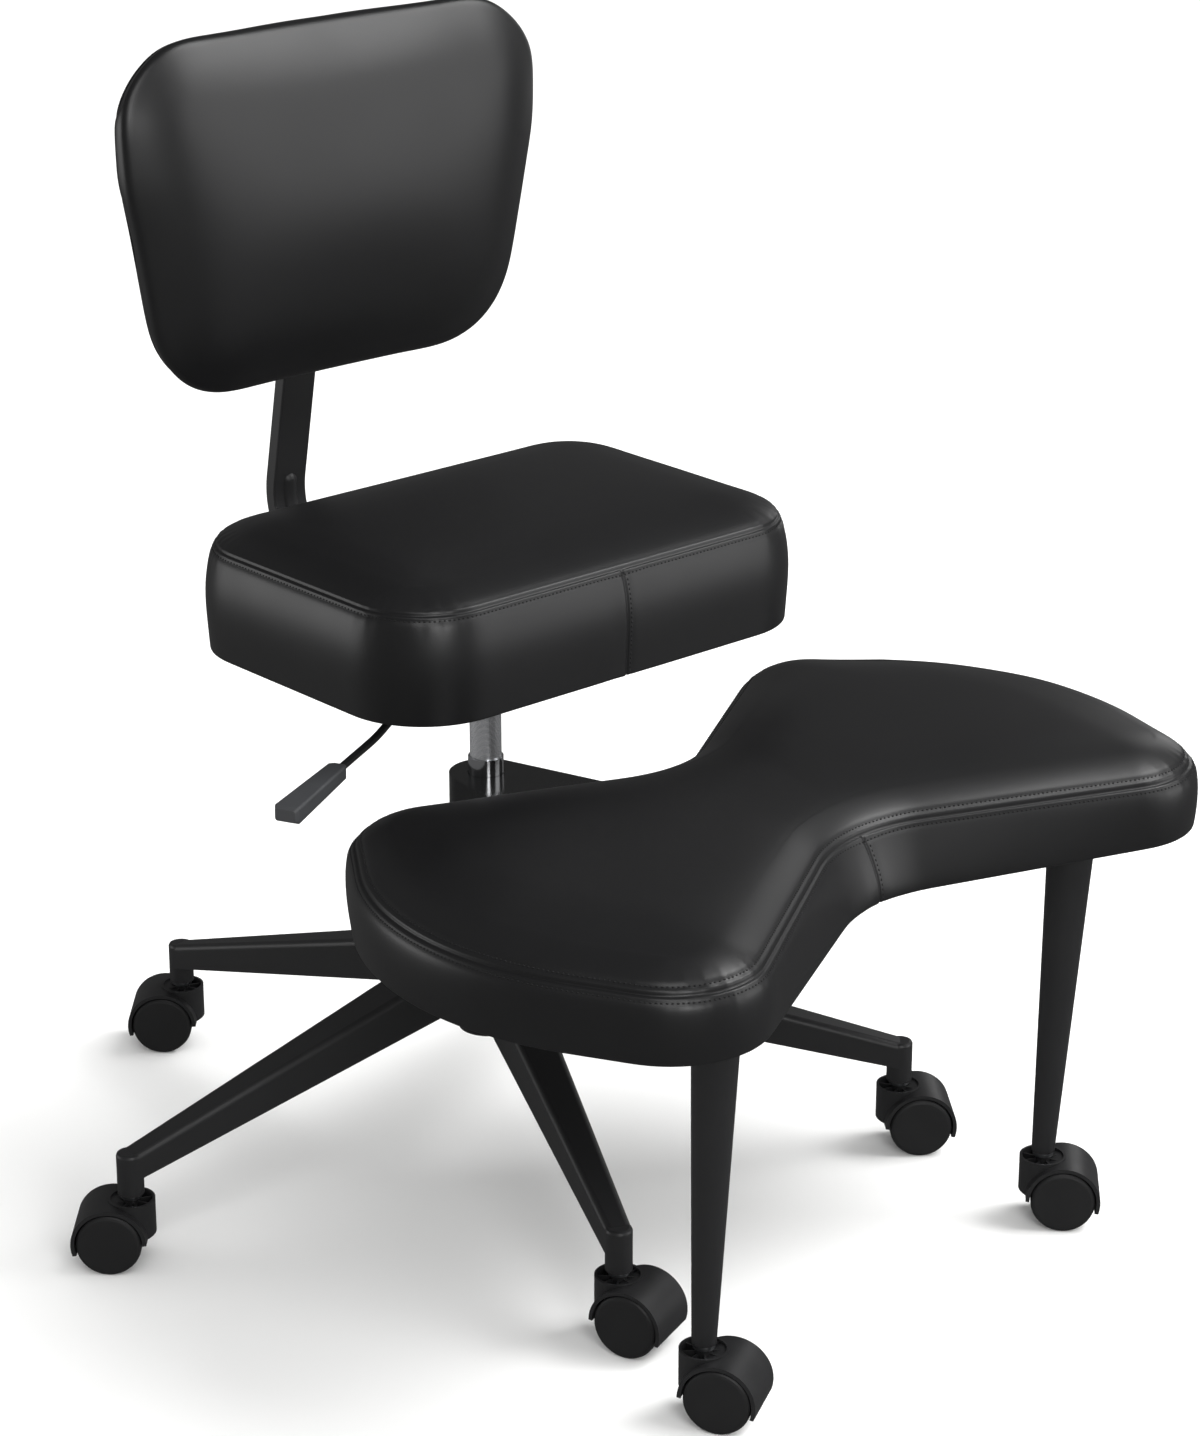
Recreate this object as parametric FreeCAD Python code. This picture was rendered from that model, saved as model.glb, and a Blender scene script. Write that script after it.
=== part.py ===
import FreeCAD, Part
import math
import os

# Cross-legged office chair: a lifting, swivelling seat with a back pad stands on a five-arm base,
# and a wide footrest on two legs swings round the same column.
# Millimetres. The origin is on the floor under the column, Z is up, and the sitter faces -Y.

Vector = FreeCAD.Vector
ORIGIN = Vector(0, 0, 0)
ALONG_X = Vector(1, 0, 0)
ALONG_Y = Vector(0, 1, 0)
ALONG_Z = Vector(0, 0, 1)

# Fits
RUN_FIT = 0.05          # radial room in a fit that turns or slides
FACE_GAP = 0.1          # room between flat faces that move past each other
LOOSE = 0.4             # radial room where nothing should rub
ROUND_STEP = 0.3        # share of an edge's radius where its two-step rounding turns

# Casters
WHEEL_DIA = 50.0
WHEEL_SPACE = 13.0      # between the two wheels' inner faces
WHEEL_WIDTH = 17.5
WHEEL_EDGE = 1.6
WHEEL_RIM = 3.2
WHEEL_FACE = 2.5
WHEEL_HUB_DIA = 15.0
AXLE_DIA = 6.0
AXLE_COVER = 1.2        # wheel face left over the axle's end
CASTER_TRAIL = 16.0     # stem axis to axle
HOOD_ROOM = 0.9         # wheel rim to the hood's inside
HOOD_WALL = 2.9
HOOD_SHORT = 0.5        # wheel left showing past each side of the hood
HOOD_FRONT_LOW = 26.0   # height of the hood's lower edge in front
HOOD_REAR_LOW = 16.0    # and behind
WEB_ROOM = 0.5          # hood's middle web to each wheel
COLLAR_DIA = 36.0
COLLAR_WALL = 2.0
COLLAR_DROP = 4.5       # collar's top below the stem seat
COLLAR_DEPTH = 11.0
COLLAR_RIBS = 8
COLLAR_RIB = 1.3
STEM_ROOM = 5.2         # hood's top to the stub or leg that a stem carries
STEM_DIA = 11.0
STEM_GRIP = 22.0        # length in the stub or leg
STEM_PIN_DIA = 8.0
STEM_PIN = 22.0         # length in the hood
STEM_FLANGE_DIA = 16.0
STEM_FLANGE = 3.5

# Five-arm base
ARM_COUNT = 5
ARM_FIRST_ANGLE = 102.5
STEM_CIRCLE = 330.0     # column axis to the caster stems
STUB_DIA = 20.5
STUB_HIGH = 34.0
STUB_EDGE = 2.5
ARM_END_HEIGHT = 21.0
ARM_RISE = 89.0         # arm's top, from the stub to the hub
ARM_HUB_HEIGHT = 40.0
ARM_HUB_WIDTH = 40.0
ARM_EDGE = 5.0
ARM_WALL = 2.6
ARM_RIBS = 3
HUB_WALL = 13.0
HUB_STAND = 10.0        # hub's top above the arms
HUB_HIGH = 64.0
HUB_EDGE = 3.0
BASE_SWIVELS = (138.0, 138.0, 291.0, 322.0, 205.0)

# Gas lift
COLUMN_DIA = 50.0
COLUMN_WALL = 2.5
COLUMN_TAPER = 1.0      # on the radius, from the hub's top to the column's foot
COLUMN_TAIL = 20.0      # column below the hub
COLUMN_FOOT = 4.0
COLUMN_CAP = 4.0
RING_WALL = 1.1         # guide ring that stands through the bracket
RING_HEIGHT = 14.0
BUSH_LENGTH = 84.0
TUBE_DIA = 25.0
TUBE_WALL = 2.0
TUBE_BOTTOM = 168.0
TUBE_SEAL = 10.0
TUBE_CAP = 8.0
TUBE_TAPER = 0.5        # on the radius, in the seat's socket
ROD_DIA = 10.0
ROD_FREE = 31.0         # gas room left above the piston at the lowest seat
PISTON_HEIGHT = 9.0
ROD_SHOULDER = 3.0
BEARING_DIA = 24.0
BEARING_WASHER = 1.0
BEARING_BALL = 3.0
BEARING_BALLS = 10
CLIP_DIA = 17.0
CLIP_THICK = 1.5
CLIP_MOUTH = 6.0
ROD_TAIL = 4.0

# Seat plate and lever
SEAT_BOTTOM = 448.0
PLATE_THICK = 3.0
PLATE_WIDTH = 170.0
PLATE_FRONT = -100.0
PLATE_BACK = 98.0
PLATE_CORNER = 14.0
TRAY_WIDTH = 82.0
TRAY_FRONT = -60.0
TRAY_BACK = 50.0
TRAY_DEPTH = 32.0
TRAY_WALL = 2.5
TRAY_CORNER = 10.0
SOCKET_WALL = 6.5
SOCKET_HEIGHT = 34.0
SOCKET_ROOM = 12.0      # socket's top below the seat
BOLT_DIA = 6.0
BOLT_HEAD = 11.0        # across the corners
BOLT_HEAD_HIGH = 4.0
BOLT_GRIP = 9.0         # length held in a board
SEAT_BOLT_EDGE = 18.0   # plate's edge to a seat bolt
BUTTON_DIA = 6.0
BUTTON_TIP_DIA = 2.4
BUTTON_STAND = 5.0      # above the tube
BUTTON_LENGTH = 9.0
LEVER_ANGLE = 25.0      # forward of the seat's right-hand side
LEVER_ROD = 6.0
LEVER_ROOM = 2.5        # socket to the lever's boss
LEVER_PIVOT_DROP = 15.0
LEVER_PIN_DIA = 4.0
LEVER_BOSS_DIA = 9.0
LEVER_BOSS_WIDTH = 12.0
LEVER_PADDLE = 2.0
LEVER_PADDLE_WIDTH = 10.0
LEVER_PADDLE_PAST = 4.0
LEVER_LEVEL = 122.0     # column axis to where the rod starts to drop
LEVER_KNEE = 188.0
LEVER_KNEE_DROP = 13.5
LEVER_TIP = 331.0
LEVER_TIP_DROP = 22.0
LEVER_BEND = 150.0
LEVER_SLOT = 15.0
LUG_WIDTH = 10.0
LUG_THICK = 3.0
GRIP_LENGTH = 84.0
GRIP_END = 12.0         # grip left past the rod's end
GRIP_CHAMFER = 4.0      # length of the sloped ends
GRIP_TIP_WIDTH = 20.0
GRIP_TIP_HIGH = 13.0
GRIP_NECK_WIDTH = 15.0
GRIP_NECK_HIGH = 11.0
GRIP_CORNER = 2.0

# Seat pad
SEAT_WIDTH = 394.0      # at the seam
SEAT_DEPTH = 275.0
SEAT_CORNER = 61.0
SEAT_CENTRE_Y = -19.5
SEAT_BAND = 83.0        # height of the side band
SEAT_BELLY = 8.0        # how far the side band swells past the seam
SEAT_TUCK = 2.0         # how far the band draws in again at its foot
SEAT_CROWN = 14.0
SEAT_TOP_CORNER = 7.0   # corner radius of the crown's level middle
SEAT_WRAP = 16.0        # cover and foam round the board's edge
BOARD_THICK = 12.0
BAND_ROLL = 10.0        # height of the roll at a band's foot
BAND_ROLL_OUT = 0.8     # share of the belly that this roll reaches
CROWN_CURVE = ((0.08, 0.45), (0.28, 0.80), (1.0, 1.0))     # shares of a crown's reach and rise

# Back bar and back pad
BAR_WIDTH = 32.0
BAR_THICK = 12.0
BAR_EDGE = 1.6
BAR_ROOM = 3.0          # tray to the bar's end
BAR_KNEE_Y = 262.0
BAR_LEAN = 10.8
BAR_BEND = 60.0
BAR_UPRIGHT_Y = 214.0
BAR_UPRIGHT_BEND = 120.0
BAR_BOLT_IN = 12.0      # bar's end to its first bolt
BAR_BOLT_SPACE = 24.0
RIB_DIA = 15.0
RIB_PROUD = 3.5
RIB_START = 12.0        # degrees round the bend, from its lower end
RIB_SWEEP = 86.0
PAD_PLATE_WIDTH = 84.0
PAD_PLATE_HIGH = 90.0
PAD_PLATE_THICK = 4.0
PAD_PLATE_CORNER = 10.0
PAD_PLATE_RISE = 8.0    # plate's middle above the pad's
PAD_BOLT_EDGE = 12.0    # plate's edge to a pad bolt
PAD_BOLT_GRIP = 7.0     # length held in the pad's board
PAD_GAP = 83.0          # seat's seam to the pad's lower edge
PAD_HIGH = 276.0
PAD_TOP_CORNER = 72.0
PAD_TOP_CORNER_X = 129.5
PAD_BOTTOM_CORNER = 75.0
PAD_BOTTOM_CORNER_X = 101.0
PAD_EDGE = 34.0         # thickness at the rim
PAD_END_EDGE = 14.0     # and at the two ends
PAD_CROWN = 24.0
PAD_ROUND = 12.0
PAD_WING = 22.0         # how far the sides come forward
PAD_BOARD = 10.0
PAD_WRAP = 20.0
PAD_REVEAL = 1.0        # board stands this proud of the cover behind
PAD_CUTS = (0.0, 0.30, 0.54, 0.70, 0.82, 0.90, 0.955, 0.985)

# Footrest
FOOT_TURN = 5.9         # footrest's turn about the column, to the sitter's left
FOOT_BOTTOM = 325.0
FOOT_BAND = 49.0
FOOT_BELLY = 8.0
FOOT_TUCK = 2.0
FOOT_CROWN = 21.0
FOOT_TOP_CORNER = 12.0
FOOT_WRAP = 14.0
WAIST_BACK = -190.0
WAIST_BACK_RADIUS = 110.0
WAIST_FRONT = -372.0
WAIST_FRONT_RADIUS = 130.0
WAIST_FLARE = 12.0      # how far the band's foot stands forward of the front waist
WING_REACH = 342.0      # middle of the footrest to the wing's side
WING_SIDE_Y = -304.0
WING_SIDE_RADIUS = 230.0
WING_EASE = 6.0         # how far a corner arc stands out from where it would touch the side arc
WING_BACK_RADIUS = 58.0
WING_BACK_ANGLE = 55.1  # the corners' places, seen from the side arc's centre
WING_FRONT_RADIUS = 66.0
WING_FRONT_ANGLE = -37.8
BRACKET_HIGH = 40.0
BRACKET_END_HIGH = 18.0
BRACKET_WALL = 2.5
BRACKET_TOP = 3.0
BRACKET_SHORT = 40.0    # front waist to the bracket's end
BRACKET_END_WIDTH = 190.0
BRACKET_CORNER = 16.0
BRACKET_BUSH = 2.0
BRACKET_WASHER = 3.0
COLLAR_TUBE = 2.0
BRACKET_BOLT_X = 62.0
BRACKET_BOLT_IN = 22.0  # bracket's end to its first bolts
BRACKET_BOLT_SPACE = 60.0
LEG_ALONG = 35.5        # front wing's centre to the leg's top, along the front edge
LEG_EDGE_ROOM = 1.5     # board's edge to the ring of screws
LEG_LEAN_X = 3.0        # how far the top leans out
LEG_LEAN_Y = 11.0       # and forward
LEG_BOTTOM_DIA = 18.0
LEG_TOP_DIA = 36.0
LEG_WALL = 2.0
LEG_PLUG = 34.0         # solid foot that holds the stem
LEG_FLANGE = 11.0       # plate left showing round the leg
LEG_PLATE = 3.0
LEG_SCREWS = 4
SCREW_DIA = 4.0
SCREW_HEAD_DIA = 8.0
SCREW_HEAD = 1.8
FOOT_SWIVELS = (300.0, 314.0)

# Worked-out sizes of the casters and the base
AXLE_HEIGHT = WHEEL_DIA / 2
HOOD_WIDTH = WHEEL_SPACE + 2 * (WHEEL_WIDTH - HOOD_SHORT)
STEM_SEAT = WHEEL_DIA + HOOD_ROOM + HOOD_WALL + STEM_ROOM
COLLAR_TOP = STEM_SEAT - COLLAR_DROP
SLEEVE_TOP = STEM_SEAT - STEM_FLANGE
ARM_ANGLES = [ARM_FIRST_ANGLE + 360.0 / ARM_COUNT * i for i in range(ARM_COUNT)]
ARM_END_TOP = STEM_SEAT + STUB_HIGH
ARM_HUB_TOP = ARM_END_TOP + ARM_RISE
HUB_DIA = COLUMN_DIA + 2 * HUB_WALL
HUB_TOP = ARM_HUB_TOP + HUB_STAND
HUB_BOTTOM = HUB_TOP - HUB_HIGH

# Worked-out sizes round the column
COLUMN_RADIUS = COLUMN_DIA / 2
COLUMN_BOTTOM = HUB_BOTTOM - COLUMN_TAIL
COLUMN_TOP = FOOT_BOTTOM - BRACKET_TOP - BRACKET_WASHER
BRACKET_RIM = COLUMN_RADIUS + BRACKET_BUSH + COLLAR_TUBE
BRACKET_REACH = -WAIST_FRONT - BRACKET_SHORT
RING_DIA = TUBE_DIA + 2 * (LOOSE + RING_WALL)
RING_TOP = FOOT_BOTTOM + RING_HEIGHT
TUBE_BORE = TUBE_DIA - 2 * TUBE_WALL
TUBE_TOP = SEAT_BOTTOM - SOCKET_ROOM
ROD_TOP = TUBE_TOP - TUBE_CAP - ROD_FREE

# Worked-out places of the seat and the back
PLATE_UNDER = SEAT_BOTTOM - PLATE_THICK
SOCKET_DIA = TUBE_DIA + 2 * SOCKET_WALL
LEVER_PIVOT = SOCKET_DIA / 2 + LEVER_ROOM + LEVER_BOSS_DIA / 2
LEVER_HEIGHT = SEAT_BOTTOM - LEVER_PIVOT_DROP
LEVER_TURN = 180.0 + LEVER_ANGLE
SEAT_SEAM = SEAT_BOTTOM + SEAT_BAND
BAR_START = TRAY_BACK + BAR_ROOM
BAR_LEVEL = PLATE_UNDER - BAR_THICK / 2
PAD_BOTTOM = SEAT_SEAM + PAD_GAP
PAD_TOP = PAD_BOTTOM + PAD_HIGH
PAD_BACK = BAR_UPRIGHT_Y - BAR_THICK / 2 - PAD_PLATE_THICK
PAD_PLATE_MIDDLE = (PAD_BOTTOM + PAD_TOP) / 2 + PAD_PLATE_RISE
BAR_TOP = PAD_PLATE_MIDDLE + PAD_PLATE_HIGH / 2

# Worked-out places of the footrest
FOOT_SEAM = FOOT_BOTTOM + FOOT_BAND
WING_SIDE_X = WING_REACH - WING_SIDE_RADIUS
WING_BACK_RUN = WING_SIDE_RADIUS - WING_BACK_RADIUS + WING_EASE
WING_BACK_X = WING_SIDE_X + WING_BACK_RUN * math.cos(math.radians(WING_BACK_ANGLE))
WING_BACK_Y = WING_SIDE_Y + WING_BACK_RUN * math.sin(math.radians(WING_BACK_ANGLE))
WING_FRONT_RUN = WING_SIDE_RADIUS - WING_FRONT_RADIUS + WING_EASE
WING_FRONT_X = WING_SIDE_X + WING_FRONT_RUN * math.cos(math.radians(WING_FRONT_ANGLE))
WING_FRONT_Y = WING_SIDE_Y + WING_FRONT_RUN * math.sin(math.radians(WING_FRONT_ANGLE))
LEG_PLATE_DIA = LEG_TOP_DIA + 2 * LEG_FLANGE
LEG_SCREW_CIRCLE = (LEG_TOP_DIA + LEG_PLATE_DIA) / 2
EDGE_RUN_X = -WING_FRONT_X
EDGE_RUN_Y = WAIST_FRONT - WAIST_FRONT_RADIUS - WING_FRONT_Y
EDGE_HEADING = math.atan2(EDGE_RUN_Y, EDGE_RUN_X) - math.asin(
    (WING_FRONT_RADIUS + WAIST_FRONT_RADIUS) / math.hypot(EDGE_RUN_X, EDGE_RUN_Y))
LEG_IN = FOOT_WRAP + LEG_EDGE_ROOM + (LEG_SCREW_CIRCLE + SCREW_DIA) / 2 - WING_FRONT_RADIUS
LEG_X = WING_FRONT_X + LEG_ALONG * math.cos(EDGE_HEADING) + LEG_IN * math.sin(EDGE_HEADING) - LEG_LEAN_X
LEG_Y = WING_FRONT_Y + LEG_ALONG * math.sin(EDGE_HEADING) - LEG_IN * math.cos(EDGE_HEADING) + LEG_LEAN_Y


# Shapes
def tube(outer, inner, low, high):
    body = Part.makeCylinder(outer, high - low, Vector(0, 0, low))
    if inner:
        body = body.cut(Part.makeCylinder(inner, high - low, Vector(0, 0, low)))
    return body


def turned(profile):
    """Revolve a closed (radius, height) profile about the Z axis."""
    points = [Vector(radius, 0, height) for radius, height in profile]
    face = Part.Face(Part.makePolygon(points + points[:1]))
    return face.revolve(ORIGIN, ALONG_Z, 360)


def pin(radius, start, direction, length):
    return Part.makeCylinder(radius, length, start, direction)


def block(size, low):
    return Part.makeBox(size[0], size[1], size[2], Vector(*low))


def fused(first, *others):
    return first.multiFuse(list(others)).removeSplitter()


def placed(shape, turn=0.0, shift=ORIGIN):
    """A copy turned about Z and then moved."""
    copy = shape.copy()
    copy.Placement = FreeCAD.Placement(shift, FreeCAD.Rotation(ALONG_Z, turn)).multiply(copy.Placement)
    return copy


def radial(radius, angle, height=0.0):
    return Vector(radius * math.cos(math.radians(angle)), radius * math.sin(math.radians(angle)), height)


def outline(circles, inset=0.0, height=0.0):
    """A closed wire round (x, y, radius) circles: arcs joined by tangent lines.

    The circles go counter-clockwise, and a negative radius is a hollow.
    """
    rolls = [(Vector(x, y, height), radius - inset) for x, y, radius in circles]
    lines = []
    for (near, near_radius), (far, far_radius) in zip(rolls, rolls[1:] + rolls[:1]):
        gap = far - near
        heading = math.atan2(gap.y, gap.x) - math.asin((far_radius - near_radius) / gap.Length)
        side = Vector(-math.sin(heading), math.cos(heading), 0)
        lines.append((near - side * near_radius, far - side * far_radius, side))
    edges = []
    for index, (centre, radius) in enumerate(rolls):
        before = lines[index - 1]
        after = lines[index]
        middle = (before[2] + after[2]).normalize()
        edges.append(Part.Arc(before[1], centre - middle * radius, after[0]).toShape())
        edges.append(Part.LineSegment(after[0], after[1]).toShape())
    return Part.Wire(edges)


def slab(circles, low, high, inset=0.0):
    face = Part.Face(outline(circles, inset, low))
    return face.extrude(Vector(0, 0, high - low))


def rectangle(width, front, back, corner):
    """The four corner circles of a rounded rectangle, centred on X."""
    x = width / 2 - corner
    return [(x, front + corner, corner), (x, back - corner, corner),
            (-x, back - corner, corner), (-x, front + corner, corner)]


def loft(wires, ruled=False):
    return Part.makeLoft(wires, True, ruled)


def pad(foot, middle, top, bottom, seam, belly, tuck, crown, reach):
    """A stuffed pad: a side band that swells and draws in again, and a crowned top above its seam.

    The outline's circles are given at the band's foot, at its middle and at the seam.
    """
    band = loft([outline(foot, tuck - belly, bottom),
                 outline(foot, -BAND_ROLL_OUT * belly, bottom + BAND_ROLL),
                 outline(middle, -belly, (bottom + seam) / 2),
                 outline(top, 0.0, seam)])
    steps = [outline(top, inset * reach, seam + rise * crown) for inset, rise in CROWN_CURVE]
    return band.fuse(loft([outline(top, 0.0, seam)] + steps))


def bolt(at, grip, head_dia=BOLT_HEAD, head_high=BOLT_HEAD_HIGH, shank=BOLT_DIA):
    """A hex bolt that points up: its head hangs below the point, its shank stands above."""
    corners = [radial(head_dia / 2, 60.0 * i) for i in range(6)]
    head = Part.Face(Part.makePolygon(corners + corners[:1])).extrude(Vector(0, 0, head_high))
    body = fused(placed(head, 0, Vector(0, 0, -head_high)), pin(shank / 2, ORIGIN, ALONG_Z, grip))
    return placed(body, 0, at)


def rounded_path(points, radii):
    """Edges along points, with an arc of the given radius at each inner point."""
    starts = [points[0]]
    edges = []
    for before, corner, after, radius in zip(points, points[1:], points[2:], radii):
        into = (corner - before).normalize()
        out = (after - corner).normalize()
        reach = radius * math.tan(into.getAngle(out) / 2)
        first = corner - into * reach
        last = corner + out * reach
        inward = (out - into).normalize()
        depth = radius / math.cos(into.getAngle(out) / 2) - radius
        edges.append(Part.LineSegment(starts[-1], first).toShape())
        edges.append(Part.Arc(first, corner + inward * depth, last).toShape())
        starts.append(last)
    edges.append(Part.LineSegment(starts[-1], points[-1]).toShape())
    return Part.Wire(edges)


# Casters: a hooded pair of wheels that trails behind its stem, made at the stem's axis
def caster_hood():
    axle = Vector(CASTER_TRAIL, 0, AXLE_HEIGHT)
    inside = WHEEL_DIA / 2 + HOOD_ROOM
    outside = inside + HOOD_WALL
    web = WHEEL_SPACE / 2 - WEB_ROOM

    def drum(radius, low, high):
        return pin(radius, axle + Vector(0, low, 0), ALONG_Y, high - low)

    collar_radius = COLLAR_DIA / 2
    floor = COLLAR_TOP - COLLAR_DEPTH
    shell = fused(drum(outside, -HOOD_WIDTH / 2, HOOD_WIDTH / 2),
                  tube(collar_radius, 0, HOOD_REAR_LOW, COLLAR_TOP))
    recess = tube(collar_radius - COLLAR_WALL, 0, floor, COLLAR_TOP)
    recess = recess.cut(drum(inside + COLLAR_WALL, -HOOD_WIDTH, HOOD_WIDTH))
    shell = shell.cut(recess)
    ribs = [placed(block((collar_radius - COLLAR_WALL / 2, COLLAR_RIB, COLLAR_DEPTH - COLLAR_WALL),
                         (0, -COLLAR_RIB / 2, floor)), 360.0 / COLLAR_RIBS * (i + 0.5))
            for i in range(COLLAR_RIBS)]
    sleeve = tube(web, 0, AXLE_HEIGHT, SLEEVE_TOP)
    shell = fused(shell, sleeve, *ribs)
    for side in (-1, 1):
        low, high = sorted((side * web, side * HOOD_WIDTH))
        shell = shell.cut(drum(inside, low, high))
    rear = CASTER_TRAIL + outside
    below = Part.Face(Part.makePolygon([
        Vector(-COLLAR_DIA, -HOOD_WIDTH, -HOOD_WIDTH), Vector(rear + COLLAR_DIA, -HOOD_WIDTH, -HOOD_WIDTH),
        Vector(rear + COLLAR_DIA, -HOOD_WIDTH, HOOD_REAR_LOW), Vector(rear, -HOOD_WIDTH, HOOD_REAR_LOW),
        Vector(-collar_radius, -HOOD_WIDTH, HOOD_FRONT_LOW), Vector(-COLLAR_DIA, -HOOD_WIDTH, HOOD_FRONT_LOW),
        Vector(-COLLAR_DIA, -HOOD_WIDTH, -HOOD_WIDTH)]))
    shell = shell.cut(below.extrude(Vector(0, 2 * HOOD_WIDTH, 0)))
    shell = fused(shell, drum(WHEEL_HUB_DIA / 2, -web, web))
    shell = shell.cut(drum(AXLE_DIA / 2, -web, web))
    stem_foot = SLEEVE_TOP - STEM_PIN
    return shell.cut(tube(STEM_PIN_DIA / 2 + RUN_FIT, 0, stem_foot - FACE_GAP, SLEEVE_TOP))


def caster_axle():
    half = WHEEL_SPACE / 2 + WHEEL_WIDTH - AXLE_COVER - FACE_GAP
    return pin(AXLE_DIA / 2, Vector(CASTER_TRAIL, -half, AXLE_HEIGHT), ALONG_Y, 2 * half)


def caster_wheel(side):
    """One cup-shaped wheel: a rim, a plain outer face and a hub with a blind bore."""
    inner = WHEEL_SPACE / 2
    outer = inner + WHEEL_WIDTH
    rim = WHEEL_DIA / 2
    bore = AXLE_DIA / 2 + RUN_FIT
    hub = WHEEL_HUB_DIA / 2
    profile = [(bore, inner), (hub, inner), (hub, outer - WHEEL_FACE), (rim - WHEEL_RIM, outer - WHEEL_FACE),
               (rim - WHEEL_RIM, inner), (rim - WHEEL_EDGE, inner), (rim, inner + WHEEL_EDGE),
               (rim, outer - 2 * WHEEL_EDGE), (rim - ROUND_STEP * WHEEL_EDGE, outer - WHEEL_EDGE),
               (rim - WHEEL_EDGE, outer - ROUND_STEP * WHEEL_EDGE), (rim - 2 * WHEEL_EDGE, outer),
               (0, outer), (0, outer - AXLE_COVER), (bore, outer - AXLE_COVER)]
    wheel = turned(profile)
    wheel.rotate(ORIGIN, ALONG_X, -90 * side)
    wheel.translate(Vector(CASTER_TRAIL, 0, AXLE_HEIGHT))
    return wheel


def caster_stem():
    return fused(tube(STEM_FLANGE_DIA / 2, 0, SLEEVE_TOP, STEM_SEAT),
                 tube(STEM_DIA / 2, 0, STEM_SEAT, STEM_SEAT + STEM_GRIP),
                 tube(STEM_PIN_DIA / 2, 0, SLEEVE_TOP - STEM_PIN, SLEEVE_TOP))


# Base
def arm_section(radius, width, top, height, edge, skirt=0.0):
    """Cross-section of an arm: flat sides and foot, rounded along both top edges."""
    half = width / 2
    foot = top - height - skirt
    bend = edge * (1 - math.sqrt(0.5))
    corners = [Vector(radius, -half, foot), Vector(radius, half, foot), Vector(radius, half, top - edge),
               Vector(radius, half - edge, top), Vector(radius, edge - half, top),
               Vector(radius, -half, top - edge)]
    right = Part.Arc(corners[2], Vector(radius, half - bend, top - bend), corners[3])
    left = Part.Arc(corners[4], Vector(radius, bend - half, top - bend), corners[5])
    return Part.Wire([Part.LineSegment(corners[0], corners[1]).toShape(),
                      Part.LineSegment(corners[1], corners[2]).toShape(), right.toShape(),
                      Part.LineSegment(corners[3], corners[4]).toShape(), left.toShape(),
                      Part.LineSegment(corners[5], corners[0]).toShape()])


def arm():
    """One hollow arm along +X, open below, with cross ribs and the stub that takes a stem."""
    root = HUB_DIA / 2 - 2 * ARM_WALL
    fall = (ARM_HUB_TOP - ARM_END_TOP) / (STEM_CIRCLE - root)
    body = loft([arm_section(root, ARM_HUB_WIDTH, ARM_HUB_TOP, ARM_HUB_HEIGHT, ARM_EDGE),
                 arm_section(STEM_CIRCLE, STUB_DIA, ARM_END_TOP, ARM_END_HEIGHT, ARM_EDGE)], True)
    stub_radius = STUB_DIA / 2
    end = STEM_CIRCLE - stub_radius
    share = (end - root) / (STEM_CIRCLE - root)
    end_width = ARM_HUB_WIDTH + (STUB_DIA - ARM_HUB_WIDTH) * share
    end_height = ARM_HUB_HEIGHT + (ARM_END_HEIGHT - ARM_HUB_HEIGHT) * share
    thin = 2 * ARM_WALL
    hollow = loft([
        arm_section(root, ARM_HUB_WIDTH - thin, ARM_HUB_TOP - ARM_WALL, ARM_HUB_HEIGHT,
                    ARM_EDGE / 2, ARM_WALL),
        arm_section(end, end_width - thin, ARM_HUB_TOP - ARM_WALL - fall * (end - root), end_height,
                    ARM_EDGE / 2, ARM_WALL)], True)
    for i in range(ARM_RIBS):
        at = root + (end - root) * (i + 1) / (ARM_RIBS + 1)
        hollow = hollow.cut(block((ARM_WALL, ARM_HUB_WIDTH, ARM_HUB_TOP), (at, -ARM_HUB_WIDTH / 2, 0)))
    stub = turned([(0, STEM_SEAT), (stub_radius, STEM_SEAT), (stub_radius, ARM_END_TOP - STUB_EDGE),
                   (stub_radius - ROUND_STEP * STUB_EDGE, ARM_END_TOP - ROUND_STEP * STUB_EDGE),
                   (stub_radius - STUB_EDGE, ARM_END_TOP), (0, ARM_END_TOP)])
    stub.translate(Vector(STEM_CIRCLE, 0, 0))
    body = fused(body.cut(hollow), stub)
    return body.cut(pin(STEM_DIA / 2, Vector(STEM_CIRCLE, 0, STEM_SEAT), ALONG_Z, STEM_GRIP))


def column_side(height):
    """Outside radius of the column at a height: straight, then a taper in the hub."""
    share = min(max((HUB_TOP - height) / (HUB_TOP - COLUMN_BOTTOM), 0.0), 1.0)
    return COLUMN_RADIUS - COLUMN_TAPER * share


def star_base():
    hub_radius = HUB_DIA / 2
    hub = turned([(0, HUB_BOTTOM), (hub_radius - HUB_EDGE, HUB_BOTTOM), (hub_radius, HUB_BOTTOM + HUB_EDGE),
                  (hub_radius, HUB_TOP - HUB_EDGE), (hub_radius - HUB_EDGE, HUB_TOP), (0, HUB_TOP)])
    spoke = arm()
    arms = [placed(spoke, angle) for angle in ARM_ANGLES]
    bore = turned([(0, HUB_BOTTOM - HUB_EDGE), (column_side(HUB_BOTTOM - HUB_EDGE), HUB_BOTTOM - HUB_EDGE),
                   (column_side(HUB_TOP), HUB_TOP), (0, HUB_TOP)])
    return fused(hub, *arms).cut(bore)


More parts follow.
